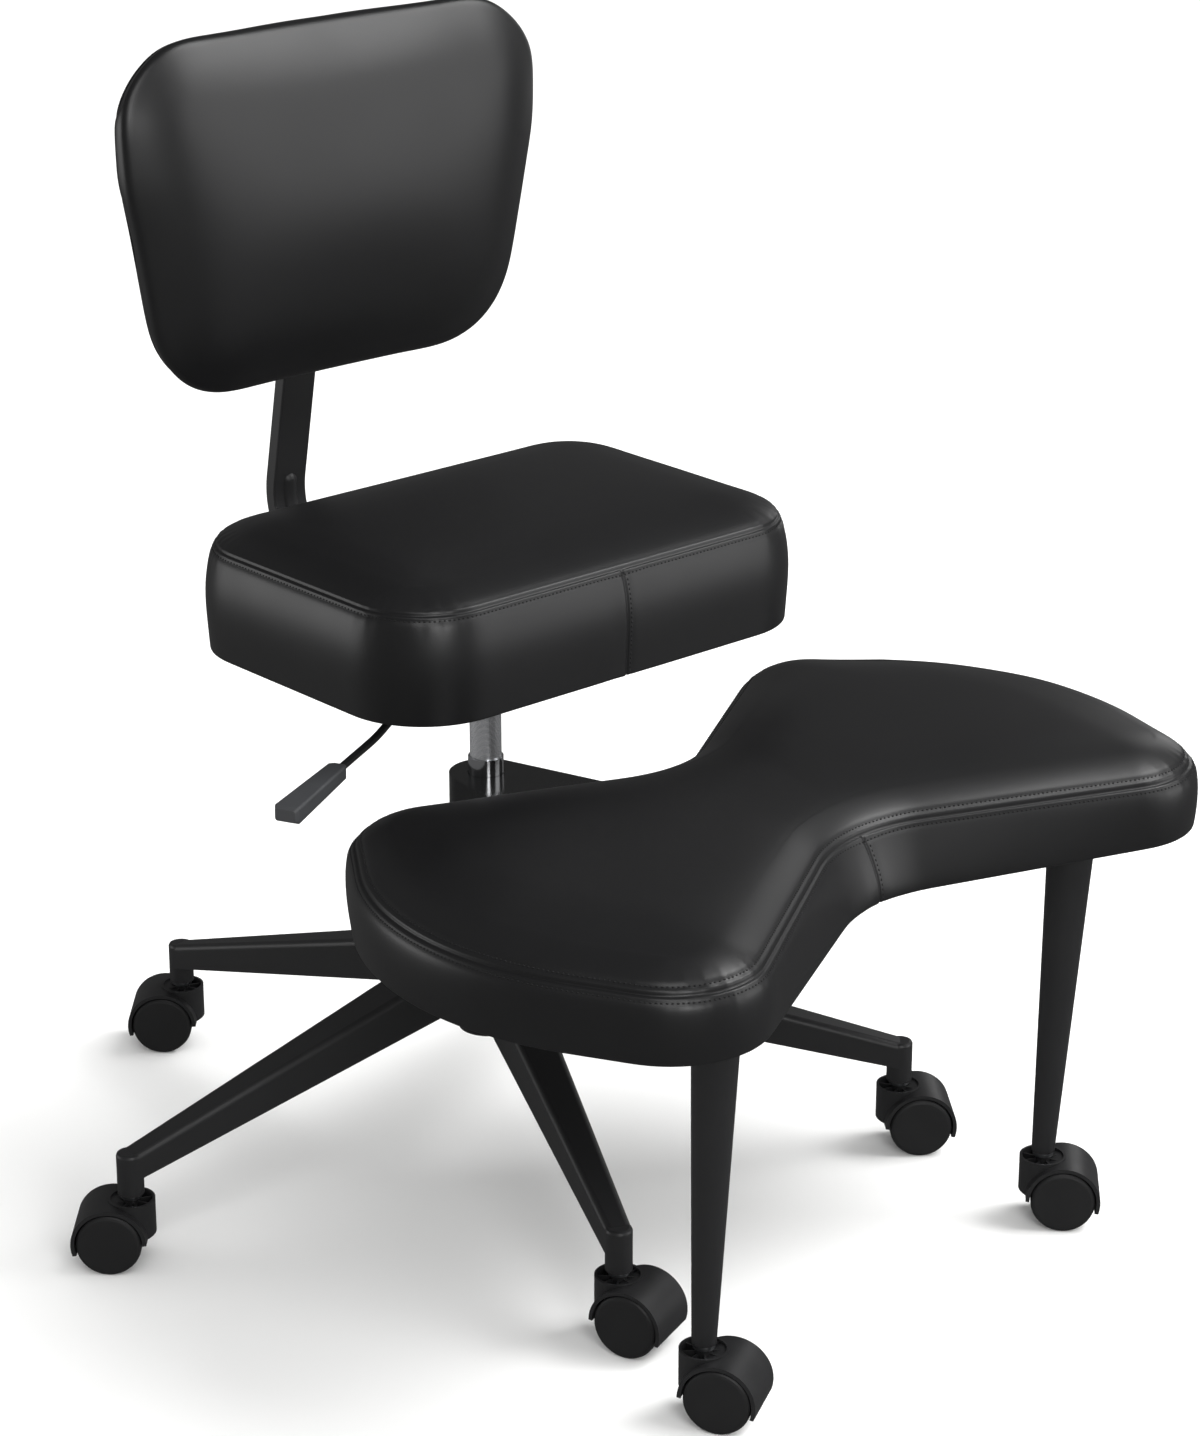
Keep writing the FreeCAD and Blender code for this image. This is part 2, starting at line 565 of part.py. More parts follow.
def gas_column():
    bore = COLUMN_RADIUS - COLUMN_WALL
    foot = COLUMN_BOTTOM + COLUMN_FOOT
    hole = ROD_DIA / 2 + RUN_FIT
    mouth = TUBE_DIA / 2 + LOOSE
    return turned([(hole, COLUMN_BOTTOM), (column_side(COLUMN_BOTTOM), COLUMN_BOTTOM),
                   (column_side(HUB_TOP), HUB_TOP), (COLUMN_RADIUS, COLUMN_TOP), (RING_DIA / 2, COLUMN_TOP),
                   (RING_DIA / 2, RING_TOP), (mouth, RING_TOP), (mouth, COLUMN_TOP - COLUMN_CAP),
                   (bore, COLUMN_TOP - COLUMN_CAP), (bore, foot), (hole, foot)])


def column_bush():
    """Long plastic guide for the gas spring, relieved in its middle."""
    top = COLUMN_TOP - COLUMN_CAP
    low = top - BUSH_LENGTH
    outer = COLUMN_RADIUS - COLUMN_WALL
    inner = TUBE_DIA / 2 + RUN_FIT
    third = BUSH_LENGTH / 3
    return turned([(inner, low), (outer, low), (outer, low + third), (outer - COLUMN_WALL, low + third),
                   (outer - COLUMN_WALL, top - third), (outer, top - third), (outer, top), (inner, top)])


def thrust_bearing():
    """Two washers and a ring of balls on the column's foot."""
    low = COLUMN_BOTTOM + COLUMN_FOOT
    inner = ROD_DIA / 2 + LOOSE
    outer = BEARING_DIA / 2
    ball_low = low + BEARING_WASHER
    high = ball_low + BEARING_BALL
    parts = [tube(outer, inner, low, ball_low), tube(outer, inner, high, high + BEARING_WASHER)]
    for i in range(BEARING_BALLS):
        centre = radial((inner + outer) / 2, 360.0 / BEARING_BALLS * i, ball_low + BEARING_BALL / 2)
        parts.append(Part.makeSphere(BEARING_BALL / 2, centre))
    return Part.makeCompound(parts)


# Piston rod
def clip_groove():
    return COLUMN_BOTTOM - FACE_GAP - CLIP_THICK


def piston_rod():
    rod = ROD_DIA / 2
    groove = clip_groove()
    neck = rod - CLIP_THICK / 2
    shoulder = COLUMN_BOTTOM + COLUMN_FOOT + 2 * BEARING_WASHER + BEARING_BALL
    piston = TUBE_BORE / 2 - RUN_FIT
    return turned([(0, groove - ROD_TAIL), (rod, groove - ROD_TAIL), (rod, groove), (neck, groove),
                   (neck, groove + CLIP_THICK), (rod, groove + CLIP_THICK), (rod, shoulder),
                   (BEARING_DIA / 2, shoulder), (BEARING_DIA / 2, shoulder + ROD_SHOULDER),
                   (rod, shoulder + ROD_SHOULDER), (rod, ROD_TOP - PISTON_HEIGHT),
                   (piston, ROD_TOP - PISTON_HEIGHT), (piston, ROD_TOP), (0, ROD_TOP)])


def rod_clip():
    groove = clip_groove()
    ring = tube(CLIP_DIA / 2, (ROD_DIA - CLIP_THICK) / 2, groove, groove + CLIP_THICK)
    return ring.cut(block((CLIP_DIA, CLIP_MOUTH, CLIP_THICK), (0, -CLIP_MOUTH / 2, groove)))


# Seat carrier
def socket_side(height):
    """Radius of the spring's seating taper at a height."""
    low = TUBE_TOP - SOCKET_HEIGHT
    return TUBE_DIA / 2 - TUBE_TAPER * (height - low) / SOCKET_HEIGHT


def gas_spring_tube():
    low = TUBE_TOP - SOCKET_HEIGHT
    bore = TUBE_BORE / 2
    rod = ROD_DIA / 2 + RUN_FIT
    valve = BUTTON_DIA / 2 + RUN_FIT
    return turned([(rod, TUBE_BOTTOM), (TUBE_DIA / 2, TUBE_BOTTOM), (TUBE_DIA / 2, low),
                   (socket_side(TUBE_TOP), TUBE_TOP), (valve, TUBE_TOP), (valve, TUBE_TOP - TUBE_CAP),
                   (bore, TUBE_TOP - TUBE_CAP), (bore, TUBE_BOTTOM + TUBE_SEAL),
                   (rod, TUBE_BOTTOM + TUBE_SEAL)])


def release_button():
    tip = TUBE_TOP + BUTTON_STAND
    foot = tip - BUTTON_LENGTH
    slope = (BUTTON_DIA - BUTTON_TIP_DIA) / 2
    return turned([(0, foot), (BUTTON_DIA / 2, foot), (BUTTON_DIA / 2, tip - slope),
                   (BUTTON_TIP_DIA / 2, tip), (0, tip)])


def lever_place(shape):
    """From the lever's own plane, with +X along the lever, to the chair."""
    return placed(shape, LEVER_TURN)


def lever_pin():
    half = LEVER_BOSS_WIDTH / 2 + FACE_GAP + LUG_THICK
    return lever_place(pin(LEVER_PIN_DIA / 2, Vector(LEVER_PIVOT, -half, LEVER_HEIGHT), ALONG_Y, 2 * half))


def seat_bolt_places():
    side = PLATE_WIDTH / 2 - SEAT_BOLT_EDGE
    return [Vector(x, y, PLATE_UNDER) for x in (-side, side)
            for y in (PLATE_FRONT + SEAT_BOLT_EDGE, PLATE_BACK - SEAT_BOLT_EDGE)]


def bar_bolt_places():
    first = BAR_START + BAR_BOLT_IN
    return [Vector(0, y, PLATE_UNDER - BAR_THICK) for y in (first, first + BAR_BOLT_SPACE)]


def seat_mechanism():
    """Pressed seat plate with a tray below it, the spring's socket and the lever's lugs."""
    plate = slab(rectangle(PLATE_WIDTH, PLATE_FRONT, PLATE_BACK, PLATE_CORNER), PLATE_UNDER, SEAT_BOTTOM)
    tray_circles = rectangle(TRAY_WIDTH, TRAY_FRONT, TRAY_BACK, TRAY_CORNER)
    floor = PLATE_UNDER - TRAY_DEPTH
    tray = slab(tray_circles, floor, PLATE_UNDER)
    tray = tray.cut(slab(tray_circles, floor + TRAY_WALL, PLATE_UNDER, TRAY_WALL))
    low = TUBE_TOP - SOCKET_HEIGHT
    socket = tube(SOCKET_DIA / 2, 0, low, TUBE_TOP)
    lug_high = LEVER_PIVOT_DROP - PLATE_THICK + LUG_WIDTH / 2
    lugs = []
    for side in (-1, 1):
        near = side * (LEVER_BOSS_WIDTH / 2 + FACE_GAP)
        lugs.append(lever_place(block((LUG_WIDTH, LUG_THICK, lug_high),
                                      (LEVER_PIVOT - LUG_WIDTH / 2, min(near, near + side * LUG_THICK),
                                       PLATE_UNDER - lug_high))))
    body = fused(plate, tray, socket, *lugs)
    taper = turned([(0, low), (socket_side(low), low), (socket_side(TUBE_TOP), TUBE_TOP), (0, TUBE_TOP)])
    slot = lever_place(block((TRAY_WIDTH, LEVER_SLOT, TRAY_DEPTH - 2 * TRAY_WALL),
                             (LEVER_PIVOT, -LEVER_SLOT / 2, floor + 2 * TRAY_WALL)))
    slot = slot.cut(fused(*lugs))
    body = body.cut(taper).cut(slot).cut(lever_pin())
    holes = seat_bolt_places() + bar_bolt_places()
    return body.cut(fused(*[pin(BOLT_DIA / 2, at, ALONG_Z, SEAT_BOTTOM) for at in holes]))


def height_lever():
    """Bent rod with a boss on the pin and a cranked paddle over the valve button."""
    boss = pin(LEVER_BOSS_DIA / 2, Vector(LEVER_PIVOT, -LEVER_BOSS_WIDTH / 2, LEVER_HEIGHT), ALONG_Y,
               LEVER_BOSS_WIDTH)
    paddle_low = TUBE_TOP + BUTTON_STAND + FACE_GAP
    half = LEVER_PADDLE_WIDTH / 2
    paddle = block((LEVER_PIVOT + LEVER_PADDLE_PAST, LEVER_PADDLE_WIDTH, LEVER_PADDLE),
                   (-LEVER_PADDLE_PAST, -half, paddle_low))
    riser = block((LEVER_BOSS_DIA / 2, LEVER_PADDLE_WIDTH, paddle_low + LEVER_PADDLE - LEVER_HEIGHT),
                  (LEVER_PIVOT - LEVER_BOSS_DIA / 2, -half, LEVER_HEIGHT))
    path = [Vector(LEVER_PIVOT, 0, LEVER_HEIGHT), Vector(LEVER_LEVEL, 0, LEVER_HEIGHT),
            Vector(LEVER_KNEE, 0, LEVER_HEIGHT - LEVER_KNEE_DROP), lever_end(GRIP_END)]
    ring = Part.Wire(Part.makeCircle(LEVER_ROD / 2, path[0], ALONG_X))
    rod = rounded_path(path, [LEVER_BEND, LEVER_BEND]).makePipeShell([ring], True, False)
    lever = fused(boss, paddle, riser, rod)
    hole = pin(LEVER_PIN_DIA / 2 + RUN_FIT, Vector(LEVER_PIVOT, -LEVER_BOSS_WIDTH, LEVER_HEIGHT), ALONG_Y,
               2 * LEVER_BOSS_WIDTH)
    return lever_place(lever.cut(hole))


def lever_end(back):
    """A point on the lever's last straight, measured back from the grip's tip."""
    knee = Vector(LEVER_KNEE, 0, LEVER_HEIGHT - LEVER_KNEE_DROP)
    tip = Vector(LEVER_TIP, 0, LEVER_HEIGHT - LEVER_TIP_DROP)
    return tip - (tip - knee).normalize() * back


def lever_grip():
    """Moulded grip that broadens from its neck to its tip, with sloped ends."""
    cuts = [(GRIP_LENGTH, GRIP_NECK_WIDTH - GRIP_CHAMFER, GRIP_NECK_HIGH - GRIP_CHAMFER / 2),
            (GRIP_LENGTH - GRIP_CHAMFER, GRIP_NECK_WIDTH, GRIP_NECK_HIGH),
            (GRIP_CHAMFER, GRIP_TIP_WIDTH, GRIP_TIP_HIGH),
            (0.0, GRIP_TIP_WIDTH - GRIP_CHAMFER, GRIP_TIP_HIGH - GRIP_CHAMFER)]
    wires = []
    for back, width, high in cuts:
        wire = outline(rectangle(width, -high / 2, high / 2, GRIP_CORNER))
        wire.rotate(ORIGIN, ALONG_X, 90)
        wire.rotate(ORIGIN, ALONG_Z, 90)
        wire.translate(lever_end(back))
        wires.append(wire)
    grip = lever_place(loft(wires, True))
    return grip.cut(height_lever())


# Seat pad
SEAT_CIRCLES = rectangle(SEAT_WIDTH, SEAT_CENTRE_Y - SEAT_DEPTH / 2, SEAT_CENTRE_Y + SEAT_DEPTH / 2,
                         SEAT_CORNER)


def seat_board():
    board = slab(SEAT_CIRCLES, SEAT_BOTTOM, SEAT_BOTTOM + BOARD_THICK, SEAT_WRAP)
    grip = PLATE_THICK + BOLT_GRIP
    return board.cut(fused(*[pin(BOLT_DIA / 2, at, ALONG_Z, grip) for at in seat_bolt_places()]))


def seat_cushion():
    body = pad(SEAT_CIRCLES, SEAT_CIRCLES, SEAT_CIRCLES, SEAT_BOTTOM, SEAT_SEAM, SEAT_BELLY, SEAT_TUCK,
               SEAT_CROWN, SEAT_CORNER - SEAT_TOP_CORNER)
    return body.cut(slab(SEAT_CIRCLES, SEAT_BOTTOM, SEAT_BOTTOM + BOARD_THICK, SEAT_WRAP))


# Back bar
def shifted(points, offset):
    """The same bends in the YZ plane, moved square to the path: up from a level run, forward from a rise."""
    sides = [ALONG_X.cross((after - before).normalize()) for before, after in zip(points, points[1:])]
    moved = [points[0] + sides[0] * offset]
    for corner, before, after in zip(points[1:], sides, sides[1:]):
        moved.append(corner + (before + after) * (offset / (1 + before.dot(after))))
    moved.append(points[-1] + sides[-1] * offset)
    return moved


def bar_path():
    rise = (BAR_KNEE_Y - BAR_UPRIGHT_Y) / math.tan(math.radians(BAR_LEAN))
    return [Vector(0, BAR_START, BAR_LEVEL), Vector(0, BAR_KNEE_Y, BAR_LEVEL),
            Vector(0, BAR_UPRIGHT_Y, BAR_LEVEL + rise), Vector(0, BAR_UPRIGHT_Y, BAR_TOP)]


def bar_rib():
    """Pressed stiffening rib on the hollow side of the bar's lower bend."""
    reach = BAR_BEND * math.tan(math.radians(90 + BAR_LEAN) / 2)
    centre = Vector(0, BAR_KNEE_Y - reach, BAR_LEVEL + BAR_BEND)
    line = BAR_BEND - BAR_THICK / 2 - RIB_PROUD + RIB_DIA / 2
    along = Vector(0, math.cos(math.radians(RIB_START)), math.sin(math.radians(RIB_START)))
    start = centre + along.cross(ALONG_X) * line
    ring = Part.Face(Part.Wire(Part.makeCircle(RIB_DIA / 2, start, along)))
    rib = ring.revolve(centre, ALONG_X, RIB_SWEEP)
    end = centre + FreeCAD.Rotation(ALONG_X, RIB_SWEEP).multVec(start - centre)
    return fused(rib, Part.makeSphere(RIB_DIA / 2, start), Part.makeSphere(RIB_DIA / 2, end))


def pad_bolt_places():
    side = PAD_PLATE_WIDTH / 2 - PAD_BOLT_EDGE
    rise = PAD_PLATE_HIGH / 2 - PAD_BOLT_EDGE
    return [Vector(x, PAD_BACK + PAD_PLATE_THICK, PAD_PLATE_MIDDLE + z)
            for x in (-side, side) for z in (-rise, rise)]


def pad_bolt(at):
    """A bolt that points forward, from the back of the pad's plate into its board."""
    body = bolt(ORIGIN, PAD_PLATE_THICK + PAD_BOLT_GRIP)
    body.rotate(ORIGIN, ALONG_X, 90)
    body.translate(at)
    return body


def back_bar():
    """Flat steel bar bent up behind the seat, with its rib and the plate that carries the back pad."""
    half = BAR_THICK / 2
    inner = rounded_path(shifted(bar_path(), half), [BAR_BEND - half, BAR_UPRIGHT_BEND + half])
    outer = rounded_path(shifted(bar_path(), -half), [BAR_BEND + half, BAR_UPRIGHT_BEND - half])
    ends = [Part.LineSegment(inner.Vertexes[i].Point, outer.Vertexes[i].Point).toShape() for i in (0, -1)]
    side = Part.Face(Part.Wire(Part.sortEdges(inner.Edges + outer.Edges + ends)[0]))
    side.translate(Vector(-BAR_WIDTH / 2, 0, 0))
    bar = side.extrude(Vector(BAR_WIDTH, 0, 0))
    rims = [edge for edge in bar.Edges if edge.BoundBox.XLength < BAR_EDGE]
    bar = bar.makeFillet(BAR_EDGE, rims)
    plate = slab(rectangle(PAD_PLATE_WIDTH, -PAD_PLATE_HIGH / 2, PAD_PLATE_HIGH / 2, PAD_PLATE_CORNER),
                 0, PAD_PLATE_THICK)
    plate.rotate(ORIGIN, ALONG_X, 90)
    plate.translate(Vector(0, PAD_BACK + PAD_PLATE_THICK, PAD_PLATE_MIDDLE))
    bar = fused(bar, bar_rib(), plate)
    shanks = [pin(BOLT_DIA / 2, at, ALONG_Z, BAR_THICK) for at in bar_bolt_places()]
    shanks += [pad_bolt(at) for at in pad_bolt_places()]
    return bar.cut(fused(*shanks))


# Back pad
PAD_CIRCLES = [(PAD_BOTTOM_CORNER_X, PAD_BOTTOM + PAD_BOTTOM_CORNER, PAD_BOTTOM_CORNER),
               (PAD_TOP_CORNER_X, PAD_TOP - PAD_TOP_CORNER, PAD_TOP_CORNER),
               (-PAD_TOP_CORNER_X, PAD_TOP - PAD_TOP_CORNER, PAD_TOP_CORNER),
               (-PAD_BOTTOM_CORNER_X, PAD_BOTTOM + PAD_BOTTOM_CORNER, PAD_BOTTOM_CORNER)]
PAD_HALF = PAD_TOP_CORNER_X + PAD_TOP_CORNER


def pad_cuts():
    shares = [-share for share in reversed(PAD_CUTS[1:])] + list(PAD_CUTS)
    return [share * PAD_HALF for share in shares]


def pad_span(x):
    """Lowest and highest point of the pad's outline at a distance from its middle."""
    face = Part.Face(outline(PAD_CIRCLES))
    strip = face.common(Part.makeLine(Vector(x, 0, 0), Vector(x, 2 * PAD_TOP, 0))).BoundBox
    return strip.YMin, strip.YMax


def pad_arc():
    """Radius of the pad's curved back."""
    return (PAD_HALF ** 2 + PAD_WING ** 2) / (2 * PAD_WING)


def pad_back(x):
    return PAD_BACK - pad_arc() + math.sqrt(pad_arc() ** 2 - x ** 2)


def pad_profile(x):
    low, high = pad_span(x)
    fall = math.sqrt(1 - (x / PAD_HALF) ** 2)
    back = pad_back(x) - PAD_REVEAL
    front = back - PAD_END_EDGE - (PAD_EDGE - PAD_END_EDGE) * fall
    bend = min(PAD_ROUND, (high - low) / 4)
    corners = [Vector(x, back, low + bend), Vector(x, back, high - bend),
               Vector(x, front, high - bend), Vector(x, front, low + bend)]
    rim = (back + front) / 2
    return Part.Wire([
        Part.LineSegment(corners[0], corners[1]).toShape(),
        Part.Arc(corners[1], Vector(x, rim, high), corners[2]).toShape(),
        Part.Arc(corners[2], Vector(x, front - PAD_CROWN * fall, (low + high) / 2), corners[3]).toShape(),
        Part.Arc(corners[3], Vector(x, rim, low), corners[0]).toShape()])


def bare_back_board():
    """Bent board: the part of a round shell behind the pad's drawn-in outline."""
    shell = tube(pad_arc(), pad_arc() - PAD_BOARD, PAD_BOTTOM, PAD_TOP)
    shell.translate(Vector(0, PAD_BACK - pad_arc(), 0))
    depth = PAD_WING + PAD_BOARD
    front = slab(PAD_CIRCLES, 0, 2 * depth, PAD_WRAP)
    front.rotate(ORIGIN, ALONG_X, 90)
    front.translate(Vector(0, PAD_BACK + depth, 0))
    return shell.common(front)


def back_board():
    board = bare_back_board().cut(back_bar())
    return board.cut(fused(*[pad_bolt(at) for at in pad_bolt_places()]))


def back_cushion():
    return loft([pad_profile(x) for x in pad_cuts()]).cut(bare_back_board())


# Footrest, made facing -Y and then turned about the column
def foot_circles(flare=0.0):
    """The footrest's outline, with the front waist moved forward by a flare."""
    wing = [(WING_FRONT_X, WING_FRONT_Y, WING_FRONT_RADIUS), (WING_SIDE_X, WING_SIDE_Y, WING_SIDE_RADIUS),
            (WING_BACK_X, WING_BACK_Y, WING_BACK_RADIUS)]
    other = [(-x, y, radius) for x, y, radius in reversed(wing)]
    back = (0, WAIST_BACK + WAIST_BACK_RADIUS, -WAIST_BACK_RADIUS)
    front = (0, WAIST_FRONT - flare - WAIST_FRONT_RADIUS, -WAIST_FRONT_RADIUS)
    return [*wing, back, *other, front]


def bracket_bolt_places():
    first = BRACKET_BOLT_IN - BRACKET_REACH
    return [Vector(x, y, FOOT_BOTTOM - BRACKET_TOP) for x in (-BRACKET_BOLT_X, BRACKET_BOLT_X)
            for y in (first, first + BRACKET_BOLT_SPACE)]


def leg_top(side):
    return Vector(side * (LEG_X + LEG_LEAN_X), LEG_Y - LEG_LEAN_Y, FOOT_BOTTOM - LEG_PLATE)


def leg_screw_places(side):
    return [leg_top(side) + radial(LEG_SCREW_CIRCLE / 2, 360.0 / LEG_SCREWS * (i + 0.5))
            for i in range(LEG_SCREWS)]


def footrest_holes():
    holes = [pin(BOLT_DIA / 2, at, ALONG_Z, BRACKET_TOP + BOLT_GRIP) for at in bracket_bolt_places()]
    holes += [pin(SCREW_DIA / 2, at, ALONG_Z, LEG_PLATE + BOLT_GRIP) for side in (-1, 1)
              for at in leg_screw_places(side)]
    return fused(*holes)


def footrest_bracket():
    """Fan-shaped steel pressing, open below, with the collar that turns round the column."""
    x = BRACKET_END_WIDTH / 2 - BRACKET_CORNER
    y = BRACKET_CORNER - BRACKET_REACH
    fan = [(-x, y, BRACKET_CORNER), (x, y, BRACKET_CORNER), (0, 0, BRACKET_RIM)]
    low = FOOT_BOTTOM - BRACKET_HIGH
    under = FOOT_BOTTOM - BRACKET_TOP
    body = slab(fan, low, FOOT_BOTTOM).cut(slab(fan, low, under, BRACKET_WALL))
    body = fused(body, tube(BRACKET_RIM, 0, low, under))
    slope = Part.Face(Part.makePolygon([
        Vector(-BRACKET_END_WIDTH, -BRACKET_RIM, low), Vector(-BRACKET_END_WIDTH, -BRACKET_REACH, low),
        Vector(-BRACKET_END_WIDTH, -BRACKET_REACH, FOOT_BOTTOM - BRACKET_END_HIGH),
        Vector(-BRACKET_END_WIDTH, -BRACKET_RIM, low)]))
    body = body.cut(slope.extrude(Vector(2 * BRACKET_END_WIDTH, 0, 0)))
    body = body.cut(tube(BRACKET_RIM - COLLAR_TUBE, 0, low, under))
    return body.cut(tube(RING_DIA / 2 + LOOSE, 0, under, FOOT_BOTTOM)).cut(footrest_holes())


def bracket_bush():
    return tube(BRACKET_RIM - COLLAR_TUBE, COLUMN_RADIUS + RUN_FIT, FOOT_BOTTOM - BRACKET_HIGH, COLUMN_TOP)


def bracket_washer():
    return tube(COLUMN_RADIUS, RING_DIA / 2 + LOOSE, COLUMN_TOP, FOOT_BOTTOM - BRACKET_TOP)


def footrest_board():
    return slab(foot_circles(), FOOT_BOTTOM, FOOT_BOTTOM + BOARD_THICK, FOOT_WRAP).cut(footrest_holes())


def footrest_cushion():
    body = pad(foot_circles(WAIST_FLARE), foot_circles(WAIST_FLARE / 2), foot_circles(), FOOT_BOTTOM,
               FOOT_SEAM, FOOT_BELLY, FOOT_TUCK, FOOT_CROWN, WING_BACK_RADIUS - FOOT_TOP_CORNER)
    return body.cut(slab(foot_circles(), FOOT_BOTTOM, FOOT_BOTTOM + BOARD_THICK, FOOT_WRAP))


def footrest_leg(side):
    """Tapered round tube with a solid foot, leaning slightly outwards and forwards."""
    foot = Vector(side * LEG_X, LEG_Y, STEM_SEAT)
    top = leg_top(side)
    rise = top - foot

    def ring(share, wall):
        radius = (LEG_BOTTOM_DIA + (LEG_TOP_DIA - LEG_BOTTOM_DIA) * share) / 2 - wall
        return Part.Wire(Part.makeCircle(radius, foot + rise * share, ALONG_Z))

    plug = LEG_PLUG / rise.z
    leg = loft([ring(0.0, 0.0), ring(1.0, 0.0)], True)
    leg = leg.cut(loft([ring(plug, LEG_WALL), ring(1.0, LEG_WALL)], True))
    return leg.cut(pin(STEM_DIA / 2, foot, ALONG_Z, STEM_GRIP))


def leg_plate(side):
    plate = pin(LEG_PLATE_DIA / 2, leg_top(side), ALONG_Z, LEG_PLATE)
    return plate.cut(footrest_holes())


def leg_screw(at):
    return fused(pin(SCREW_DIA / 2, at, ALONG_Z, LEG_PLATE + BOLT_GRIP),
                 pin(SCREW_HEAD_DIA / 2, at, Vector(0, 0, -1), SCREW_HEAD))


# Assembly
def footrest_nodes():
    both = (-1, 1)
    bolt_grip = BRACKET_TOP + BOLT_GRIP
    screw_places = [at for side in both for at in leg_screw_places(side)]
    nodes = {
        "footrest_bracket": footrest_bracket(),
        "bracket_bush": bracket_bush(),
        "bracket_washer": bracket_washer(),
        "bracket_bolts": Part.makeCompound([bolt(at, bolt_grip) for at in bracket_bolt_places()]),
        "footrest_board": footrest_board(),
        "footrest_cushion": footrest_cushion(),
        "footrest_leg_right": footrest_leg(-1),
        "footrest_leg_left": footrest_leg(1),
        "leg_plates": Part.makeCompound([leg_plate(side) for side in both]),
        "leg_plate_screws": Part.makeCompound([leg_screw(at) for at in screw_places]),
        "footrest_caster_stems": Part.makeCompound(
            [placed(caster_stem(), 0, Vector(side * LEG_X, LEG_Y, 0)) for side in both]),
    }
    return {name: placed(shape, FOOT_TURN) for name, shape in nodes.items()}


def base_nodes():
    return {
        "star_base": star_base(),
        "gas_column": gas_column(),
        "column_bush": column_bush(),
        "thrust_bearing": thrust_bearing(),
        "base_caster_stems": Part.makeCompound(
            [placed(caster_stem(), 0, radial(STEM_CIRCLE, angle)) for angle in ARM_ANGLES]),
        "piston_rod": piston_rod(),
        "rod_clip": rod_clip(),
    }


def seat_nodes():
    seat_grip = PLATE_THICK + BOLT_GRIP
    bar_grip = BAR_THICK + PLATE_THICK
    return {
        "gas_spring_tube": gas_spring_tube(),
        "release_button": release_button(),
        "seat_mechanism": seat_mechanism(),
        "lever_pin": lever_pin(),
        "height_lever": height_lever(),
        "lever_grip": lever_grip(),
        "seat_bolts": Part.makeCompound([bolt(at, seat_grip) for at in seat_bolt_places()]),
        "seat_board": seat_board(),
        "seat_cushion": seat_cushion(),
        "back_bar": back_bar(),
        "back_bar_bolts": Part.makeCompound([bolt(at, bar_grip) for at in bar_bolt_places()]),
        "back_board": back_board(),
        "back_cushion": back_cushion(),
        "back_pad_bolts": Part.makeCompound([pad_bolt(at) for at in pad_bolt_places()]),
    }


def caster_nodes():
    places = [(radial(STEM_CIRCLE, angle), swivel) for angle, swivel in zip(ARM_ANGLES, BASE_SWIVELS)]
    turn = FreeCAD.Rotation(ALONG_Z, FOOT_TURN)
    places += [(turn.multVec(Vector(side * LEG_X, LEG_Y, 0)), swivel)
               for side, swivel in zip((-1, 1), FOOT_SWIVELS)]
    pieces = {"hood": caster_hood(), "axle": caster_axle(), "wheel_left": caster_wheel(-1),
              "wheel_right": caster_wheel(1)}
    return {f"caster_{number}_{piece}": placed(shape, swivel, at)
            for number, (at, swivel) in enumerate(places, 1) for piece, shape in pieces.items()}


def main():
    os.makedirs("parts", exist_ok=True)
    nodes = {**base_nodes(), **seat_nodes(), **footrest_nodes(), **caster_nodes()}
    for name, shape in nodes.items():
        shape.exportStep(f"parts/{name}.step")


main()
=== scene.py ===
"""Looks of a cross-legged office chair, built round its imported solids.

Three stuffed leather pads stand for the soft solids, with their seams, stitching and piping.
Every other part keeps its solid and gets the finish of its real material.
"""

import math

import bmesh
import bpy
import numpy as np
from bpy.props import FloatProperty, FloatVectorProperty, IntProperty, PointerProperty
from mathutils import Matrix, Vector
from mathutils.bvhtree import BVHTree
from mathutils.geometry import convex_hull_2d
from mathutils.kdtree import KDTree


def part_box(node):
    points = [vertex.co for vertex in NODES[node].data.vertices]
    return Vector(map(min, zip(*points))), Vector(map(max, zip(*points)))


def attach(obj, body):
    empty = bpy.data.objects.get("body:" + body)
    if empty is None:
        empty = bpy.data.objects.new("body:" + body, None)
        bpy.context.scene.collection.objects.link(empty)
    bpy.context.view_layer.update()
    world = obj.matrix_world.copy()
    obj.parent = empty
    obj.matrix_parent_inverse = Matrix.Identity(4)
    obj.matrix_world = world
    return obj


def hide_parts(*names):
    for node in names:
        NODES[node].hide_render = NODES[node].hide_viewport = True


bl_info = {
    "name": "Cross-legged chair dressing",
    "version": (1, 0, 0),
    "blender": (4, 5, 0),
    "location": "3D View > Sidebar > Chair",
    "description": "Leather pads, finishes and a studio for a chair whose solids are loaded",
    "category": "Object",
}

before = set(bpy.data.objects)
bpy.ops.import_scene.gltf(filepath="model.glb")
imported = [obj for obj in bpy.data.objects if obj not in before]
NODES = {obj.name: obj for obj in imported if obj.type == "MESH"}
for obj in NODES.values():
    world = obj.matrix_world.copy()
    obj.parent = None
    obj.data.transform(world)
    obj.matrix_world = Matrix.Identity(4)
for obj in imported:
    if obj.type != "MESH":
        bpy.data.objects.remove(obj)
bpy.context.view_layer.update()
MM = 0.001
MERGE = 0.01 * MM
FAR = 2.0


def linear(code):
    """An sRGB hex colour as linear red, green and blue."""
    shares = [int(code[i:i + 2], 16) / 255 for i in (0, 2, 4)]
    return tuple(s / 12.92 if s <= 0.04045 else ((s + 0.055) / 1.055) ** 2.4 for s in shares)


# Sizes and colours
def measure(name, description, millimetres):
    """A size that a user may change, given in millimetres."""
    return FloatProperty(name=name, description=description, default=millimetres * MM, unit="LENGTH")


def tint(name, description, code):
    """A colour that a user may change, given as sRGB hex."""
    return FloatVectorProperty(name=name, description=description, default=linear(code), subtype="COLOR")


